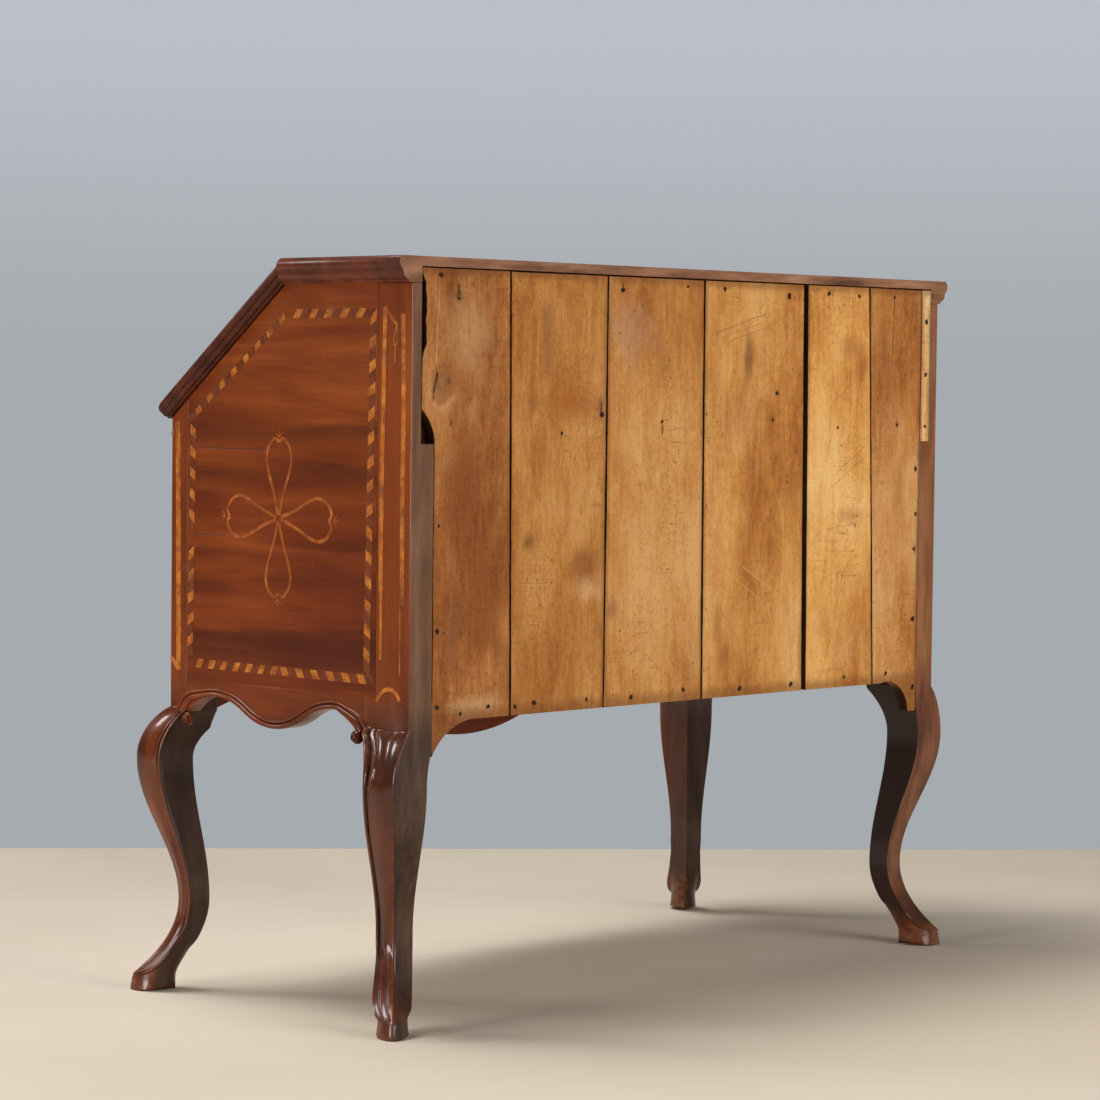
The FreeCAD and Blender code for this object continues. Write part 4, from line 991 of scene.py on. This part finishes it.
knot = (92, 52, 28)
stain = (154, 90, 44)
smoke = (138, 90, 60)
wash = (202, 162, 116)
pale = (226, 186, 136)
crack = (52, 28, 16)
planks = (
    ("back_plank_1", ((124, 68, 29), (156, 96, 47), (181, 121, 67), (206, 153, 97)), 0.3,
     ((0.399, 0.600, 0.030, 0.020, 0.45, stain), (0.450, 0.700, 0.050, 0.100, 0.5, (130, 72, 34)),
      (0.405, 0.560, 0.050, 0.140, 0.5, (136, 78, 38)), (0.452, 0.931, 0.009, 0.009, 1.0, knot),
      (0.418, 0.412, 0.060, 0.018, 0.6, wash), (0.460, 0.52, 0.016, 0.10, 0.4, smoke),
      (0.440, 0.890, 0.060, 0.070, 0.45, (196, 148, 98)), (0.464, 0.772, 0.004, 0.008, 0.7, knot),
      (0.469, 0.825, 0.004, 0.006, 0.9, knot), (0.496, 0.803, 0.004, 0.007, 0.9, knot)),
     ((0.480, 0.822, 0.021, 0.027),),
     ((0.453, 0.949, 0.452, 0.930, 0.0030, 0.95, crack), (0.4855, 0.955, 0.4915, 0.845, 0.0016, 0.3, pale),
      (0.4885, 0.838, 0.4965, 0.806, 0.0026, 0.9, crack),
      (0.436, 0.940, 0.432, 0.870, 0.0012, 0.3, crack), (0.418, 0.660, 0.421, 0.560, 0.0010, 0.35, crack))),
    ("back_plank_2", ((142, 82, 34), (170, 110, 52), (190, 132, 70), (206, 156, 96)), -0.5,
     ((0.290, 0.876, 0.016, 0.080, 0.5, smoke), (0.236, 0.800, 0.070, 0.036, 0.6, (160, 92, 40)),
      (0.323, 0.618, 0.014, 0.014, 0.5, knot), (0.221, 0.587, 0.044, 0.030, 0.62, (134, 76, 36)),
      (0.208, 0.550, 0.026, 0.022, 0.4, pale), (0.189, 0.790, 0.007, 0.024, 0.6, (104, 70, 52)),
      (0.262, 0.759, 0.003, 0.003, 0.9, knot), (0.313, 0.800, 0.012, 0.014, 0.4, smoke)),
     (), ((0.188, 0.802, 0.187, 0.780, 0.0022, 0.85, crack), (0.330, 0.800, 0.270, 0.770, 0.0016, 0.4, stain),
          (0.225, 0.820, 0.180, 0.795, 0.0014, 0.5, stain), (0.235, 0.812, 0.185, 0.784, 0.0014, 0.5, stain),
          (0.245, 0.804, 0.190, 0.772, 0.0014, 0.45, stain), (0.205, 0.935, 0.182, 0.912, 0.0016, 0.4, stain))),
    ("back_plank_3", ((150, 90, 40), (178, 117, 58), (196, 138, 75), (212, 162, 102)), 0.35,
     ((0.130, 0.890, 0.050, 0.060, 0.45, (190, 150, 116)), (0.068, 0.862, 0.016, 0.055, 0.35, smoke),
      (0.019, 0.438, 0.028, 0.045, 0.5, stain), (0.161, 0.527, 0.014, 0.020, 0.5, smoke),
      (0.067, 0.765, 0.004, 0.009, 0.7, knot)),
     (), ((0.149, 0.960, 0.148, 0.944, 0.0020, 0.85, crack), (0.066, 0.790, 0.067, 0.750, 0.0012, 0.4, crack),
          (0.130, 0.800, 0.060, 0.850, 0.0014, 0.25, stain), (0.110, 0.780, 0.040, 0.828, 0.0014, 0.25, stain))),
    ("back_plank_4", ((160, 97, 45), (190, 129, 64), (208, 152, 85), (222, 174, 112)), -0.4,
     ((-0.109, 0.863, 0.014, 0.048, 0.62, (116, 70, 40)), (-0.197, 0.686, 0.030, 0.045, 0.5, stain),
      (-0.121, 0.710, 0.009, 0.022, 0.45, (158, 98, 64)), (-0.063, 0.450, 0.022, 0.038, 0.5, stain),
      (-0.050, 0.500, 0.014, 0.034, 0.45, (148, 88, 44)), (-0.170, 0.814, 0.006, 0.005, 0.7, knot),
      (-0.162, 0.777, 0.004, 0.008, 0.7, knot)),
     (), ((-0.040, 0.895, -0.150, 0.925, 0.0012, 0.4, knot), (-0.060, 0.882, -0.165, 0.910, 0.0012, 0.35, knot),
          (-0.050, 0.888, -0.140, 0.912, 0.0010, 0.3, knot),
          (-0.100, 0.575, -0.165, 0.540, 0.0010, 0.5, pale), (-0.088, 0.558, -0.140, 0.528, 0.0008, 0.45, pale))),
    ("back_plank_5", ((172, 106, 46), (204, 142, 72), (222, 166, 94), (236, 190, 122)), 0.6,
     ((-0.332, 0.878, 0.026, 0.024, 0.4, stain), (-0.358, 0.852, 0.020, 0.036, 0.5, stain),
      (-0.340, 0.640, 0.044, 0.016, 0.4, stain)),
     (), ((-0.281, 0.962, -0.281, 0.946, 0.0016, 0.7, crack), (-0.300, 0.700, -0.375, 0.745, 0.0018, 0.3, stain),
          (-0.290, 0.680, -0.375, 0.730, 0.0018, 0.3, stain), (-0.290, 0.800, -0.370, 0.850, 0.0018, 0.3, stain))),
    ("back_plank_6", ((150, 88, 40), (180, 118, 60), (198, 140, 80), (214, 164, 106)), 0.2,
     ((-0.412, 0.871, 0.012, 0.055, 0.45, smoke), (-0.443, 0.664, 0.020, 0.065, 0.4, stain),
      (-0.440, 0.770, 0.005, 0.008, 0.7, knot), (-0.486, 0.589, 0.005, 0.010, 0.6, knot)),
     (), ((-0.430, 0.955, -0.428, 0.868, 0.0014, 0.75, crack),)),
    ("back_batten", ((186, 126, 74), (226, 172, 112), (240, 197, 140), (246, 212, 166)), 0.2, (), (), ()),
)
for number, (node, tones, ripple, marks, eyes, lines) in enumerate(planks):
    low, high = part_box(node)
    worn = ((0.848, 0.958, 0.0085),) if node == "back_plank_1" else ()
    material = plank_wood(node + "_wood", tones, low.x, high.x, 3.7 * number, ripple, marks, eyes, lines)
    show(node + "_sawn", sawn(node, 11.3 * number, worn), material, "case", node)


def metal(name, tones, rough, metallic):
    """Old metal: darker and rubbed brighter in patches."""
    finish = Finish(name)
    cloud = finish.noise((160, 160, 160), 6.0, 0.65)
    fine = finish.noise((900, 900, 900), 3.0)
    dark, middle, bright = (tone(*value) for value in tones)
    colour = finish.ramp(cloud, (0.34, dark), (0.52, middle), (0.68, bright))
    return finish.close(colour, rough + cloud * 0.25, cloud * 0.5 + fine * 0.3, 0.0003,
                        {"Metallic": metallic, "Specular IOR Level": 0.2})


def nail_recipe():
    """Hand-forged heads on points: low uneven domes, each turned and sized a little differently."""
    recipe = Recipe("nails", Size="Float", Facing="Vector", Seed="Int")
    head = recipe.add("GeometryNodeMeshIcoSphere", inputs={"Radius": 0.5, "Subdivisions": 2})
    bump = recipe.add("ShaderNodeTexNoise", inputs={"Scale": 2.3, "Detail": 1.0}) - 0.5
    spot = recipe.add("GeometryNodeInputPosition")
    spot = recipe.scaled(spot, bump * 1.6 + 1)
    spot = recipe.add("ShaderNodeVectorMath", {"operation": "MULTIPLY"}, {0: spot, 1: (1.0, 0.72, 0.24)})
    head = recipe.add("GeometryNodeSetPosition", inputs={"Geometry": head, "Position": spot})
    size = recipe.add("FunctionNodeRandomValue", {"data_type": "FLOAT"},
                      {2: 0.55, 3: 1.2, "Seed": recipe.given("Seed")}, out=1)
    spin = recipe.add("FunctionNodeRandomValue", {"data_type": "FLOAT"},
                      {2: 0.0, 3: 6.2, "Seed": recipe.given("Seed") + 1}, out=1)
    turn = recipe.add("FunctionNodeAxisAngleToRotation", inputs={"Axis": (0, 0, 1), "Angle": spin})
    turn = recipe.add("FunctionNodeAlignRotationToVector", {"axis": "Z"},
                      {"Rotation": turn, "Vector": recipe.given("Facing")})
    heads = recipe.add("GeometryNodeInstanceOnPoints",
                       inputs={"Points": recipe.given("Geometry"), "Instance": head, "Rotation": turn,
                               "Scale": size * recipe.given("Size")})
    recipe.end(heads)
    return recipe


iron = metal("iron", ((26, 17, 12), (46, 31, 22), (74, 53, 40)), 0.65, 0.1)
nails = nail_recipe()
nail_spots = (
    (0.484, 0.957), (0.452, 0.929), (0.186, 0.783), (0.262, 0.759), (0.148, 0.948), (0.068, 0.774), (0.019, 0.956),
    (-0.057, 0.955), (-0.194, 0.949), (-0.281, 0.955), (-0.349, 0.953), (-0.430, 0.954), (-0.170, 0.814),
    (-0.162, 0.777), (-0.305, 0.766), (-0.440, 0.770), (0.484, 0.643), (0.485, 0.510), (0.484, 0.414), (0.443, 0.404),
    (0.393, 0.410), (0.344, 0.407), (0.309, 0.410), (0.210, 0.409), (0.123, 0.407), (0.018, 0.411), (-0.099, 0.406),
    (-0.209, 0.406), (-0.327, 0.410), (-0.423, 0.410), (-0.486, 0.387), (-0.484, 0.589), (-0.484, 0.487),
    (-0.487, 0.640), (-0.485, 0.706), (-0.506, 0.920), (-0.506, 0.843), (-0.506, 0.768),
)
nail_heads = nails.grow(paths(*[[Vector((x, back_y, z))] for x, z in nail_spots]), Size=0.0082, Facing=(0, 1, 0),
                        Seed=4, Material=iron)
show("back_nails", nail_heads, iron, "case")

# Top: one walnut board laid over the sides and planks, its ends and front worked to a rounded nose with a
# bead under it; the back edge was left rough from the saw.
top_walnut = walnut("top_walnut", 0, ((56, 21, 11), (84, 35, 18), (108, 50, 27), (130, 68, 42)), 0.29, 0.14,
                    ((92, 60, 42), (142, 98, 71), (176, 132, 102)), back_y)
show("top_board_moulded", board("top_board", 0.0006, 0.004), top_walnut, "case", "top_board")

# Long drawers: walnut fronts with softwood linings, each with two brass swinging handles on turned posts,
# a pierced brass keyhole plate and a line of light inlay round the front.


def bail_wire(x, z):
    """Path of a handle's wire, its ends turned in through the posts."""
    y = front_y - 0.014
    arm, tail, drop = 0.0565, 0.0365, 0.030
    spots = [(-tail, 0), (-arm + 0.008, 0), (-arm + 0.002, -0.003), (-arm, -0.009), (-arm, -drop + 0.010),
             (-arm + 0.003, -drop + 0.003), (-arm + 0.010, -drop), (-arm / 2, -drop), (0, -drop)]
    spots += [(-a, b) for a, b in reversed(spots[:-1])]
    return [Vector((x + a, y, z + b)) for a, b in spots]


def framed(corners):
    """Four runs of two points, from corner to corner."""
    return [[a, b] for a, b in zip(corners, corners[1:] + corners[:1])]


brass = metal("brass", ((92, 62, 26), (158, 116, 54), (204, 164, 92)), 0.24, 1.0)
line_inset = 0.016
wire_thick = 0.0050
drawer_pieces = (
    ("_front", "_front_board", 0.001, 0.0008, front_walnut), ("_sides", "_side_boards", 0.0008, 0.0008, deal_deep),
    ("_back", "_back_board", 0.0008, 0.0008, deal_across), ("_floor", "_floor_board", 0.0008, 0.0008, deal_across),
    ("_handle_posts", "_handle_turnings", 0.0003, 1.0, brass),
    ("_keyhole_plate", "_keyhole_cover", 0.0004, 0.0008, brass),
)
for level_name in ("lower", "upper"):
    body = level_name + "_drawer"
    low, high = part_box(body + "_front")
    for end, label, width, flat, material in drawer_pieces:
        node = body + end
        show(body + label, board(node, width, flat), material, body, node)
    left, right = low.x + line_inset, high.x - line_inset
    bottom, top = low.z + line_inset, high.z - line_inset
    corners = [Vector((x, front_y, z)) for x, z in ((left, bottom), (right, bottom), (right, top), (left, top))]
    show(body + "_front_line", inlaid(framed(corners), 0.0030, 0.02, (0, -1, 0), light_inlay), light_inlay, body)
    for hand, side in hands:
        node = "%s_%s_bail" % (body, hand)
        wire_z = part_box(node)[1].z - wire_thick / 2
        wire = bead.grow(paths(bail_wire(side * 0.270, wire_z)), Width=wire_thick, Height=wire_thick, Step=0.0022,
                         Facing=(0, -1, 0), Material=brass)
        show(node + "_wire", wire, brass, node, node)

# Slides, gallery and small drawers: the two slides pull out to carry the open fall; the gallery has pigeon
# holes over four small drawers with turned knobs.
for hand in ("right", "left"):
    node = hand + "_loper"
    show(node + "_slide", board(node, 0.0008, 0.0012), front_walnut, node, node)
for node in ("gallery_end_blocks", "gallery_shelf", "pigeonhole_dividers", "drawer_partitions"):
    show(node + "_boards", board(node, 0.0006), front_walnut, "case", node)
for number in range(1, 5):
    body = "small_drawer_%d" % number
    show(body + "_front_board", board(body + "_front", 0.0006, 0.0012), front_walnut, body, body + "_front")
    show(body + "_tray_boards", board(body + "_tray", 0.0004), deal_deep, body, body + "_tray")

# Fall front: a walnut board hinged at its lower edge to the writing bed, moulded on three sides, with an
# iron lock let into its inner face and a brass plate outside. A line of light inlay frames it.
fall_walnut = walnut("fall_walnut", 0, ((42, 14, 6), (64, 24, 10), (88, 36, 16), (112, 54, 28)), 0.28, 0.1)
show("fall_board_moulded", board("fall_board", 0.0006, 0.004), fall_walnut, "fall", "fall_board")
shape = solid_copy("fall_board")
slope = max(shape.faces, key=lambda face: face.calc_area() * (face.normal.y < -0.3) * (face.normal.z > 0.2))
normal = slope.normal.copy()
rise = normal.cross(Vector((-1, 0, 0)))
centre = slope.calc_center_bounds()
frame_in, frame_up = 0.032, 0.030
half_x = max(spot.co.x for spot in slope.verts) - frame_in
half_rise = max((spot.co - centre).dot(rise) for spot in slope.verts) - frame_up
shape.free()
corners = [centre + Vector((a * half_x, 0, 0)) + rise * (b * half_rise)
           for a, b in ((-1, -1), (1, -1), (1, 1), (-1, 1))]
show("fall_line", inlaid(framed(corners), 0.0032, 0.02, normal, light_inlay), light_inlay, "fall")
for name, node, width, material, body in (("fall_keyhole_cover", "fall_keyhole_plate", 0.0004, brass, "fall"),
                                          ("fall_lock_case", "fall_lock", 0.0006, iron, "fall"),
                                          ("hinge_moving_plates", "hinge_moving_leaves", 0.0002, brass, "fall"),
                                          ("hinge_fixed_plates", "hinge_fixed_leaves", 0.0002, brass, "case"),
                                          ("hinge_pin_rods", "hinge_pins", 0.0002, brass, "case")):
    show(name, board(node, width), material, body, node)

# Studio: a pale floor that runs back to a grey wall, a large soft light high above, one low on the right for the
# back, one low on the left for the side and a small one far left, and the camera where the photo was taken from.
azimuth, elevation, roll = math.radians(133.85), math.radians(2.70), math.radians(0.65)
level = Vector((math.cos(azimuth), math.sin(azimuth), 0))
flat = math.cos(elevation)
backward = Vector((math.sin(azimuth) * flat, -math.cos(azimuth) * flat, math.sin(elevation)))
upward = backward.cross(level)
across = level * math.cos(roll) + upward * math.sin(roll)
upright = upward * math.cos(roll) - level * math.sin(roll)
camera = placed("camera", bpy.data.cameras.new("camera"))
camera_turn = Matrix((across, upright, backward)).transposed().to_4x4()
camera.matrix_world = Matrix.Translation((3.486, 3.332, 0.817)) @ camera_turn
camera.data.sensor_width = 36.0
camera.data.lens = 112.13
bpy.context.scene.camera = camera

wall_tone = tone(166, 171, 175)
floor_mesh = bpy.data.meshes.new("floor")
floor_half = 60
floor_mesh.from_pydata([(x * floor_half, y * floor_half, 0) for x, y in ((-1, -1), (1, -1), (1, 1), (-1, 1))], [],
                       [(0, 1, 2, 3)])
floor = placed("floor", floor_mesh)
paper = Finish("floor_paper")
cloud = paper.noise((1.2, 1.2, 1.2), 4.0)
beige = paper.ramp(cloud, (0.3, tone(200, 187, 169)), (0.7, tone(210, 198, 182)))
matt = paper.add("ShaderNodeBsdfDiffuse", inputs={"Color": beige})
glow = paper.add("ShaderNodeEmission", inputs={"Color": wall_tone, "Strength": 1.0})
wall_x, wall_y = -0.6703, -0.7421
wall_start, wall_full = 1.220, 1.236
away = paper.axis(0) * wall_x + paper.axis(1) * wall_y
seen = paper.add("ShaderNodeLightPath")
shader = paper.add("ShaderNodeMixShader", inputs={0: away.rise(wall_start, wall_full) * seen, 1: matt, 2: glow})
paper.add("ShaderNodeOutputMaterial", inputs={"Surface": shader})
floor_mesh.materials.append(paper.material)

world = bpy.data.worlds.new("studio")
bpy.context.scene.world = world
world.use_nodes = True
sky = Nodes(world.node_tree)
sky.tree.nodes.clear()
height = sky.add("ShaderNodeSeparateXYZ", inputs={0: sky.add("ShaderNodeTexCoord")}, out=2)
shown = sky.mix(height.rise(0.0, 0.11), wall_tone, tone(188, 191, 198))
wall = sky.add("ShaderNodeBackground", inputs={"Color": shown, "Strength": 1.0})
soft = sky.add("ShaderNodeBackground", inputs={"Color": (1.0, 0.99, 0.97, 1), "Strength": 0.10})
backdrop = sky.add("ShaderNodeMixShader", inputs={0: sky.add("ShaderNodeLightPath"), 1: soft, 2: wall})
sky.add("ShaderNodeOutputWorld", inputs={"Surface": backdrop})

lamps = (("key", 1.4, 0.1, 4.6, 1.9, 178), ("fill", -3.2, 2.5, 1.4, 2.2, 105),
         ("side", 3.3, 3.0, 0.9, 1.2, 85), ("window", 4.5, -0.6, 2.6, 0.9, 45))
for name, leftward, nearward, high, size, power in lamps:
    lamp = bpy.data.lights.new(name, "AREA")
    lamp.size = size
    lamp.energy = power
    holder = placed(name, lamp)
    holder.location = level * -leftward + Vector((backward.x, backward.y, 0)) * nearward + Vector((0, 0, high))
    holder.rotation_mode = "QUATERNION"
    holder.rotation_quaternion = (Vector((0, 0, 0.5)) - holder.location).to_track_quat("-Z", "Y")
bpy.context.scene.view_settings.view_transform = "Standard"
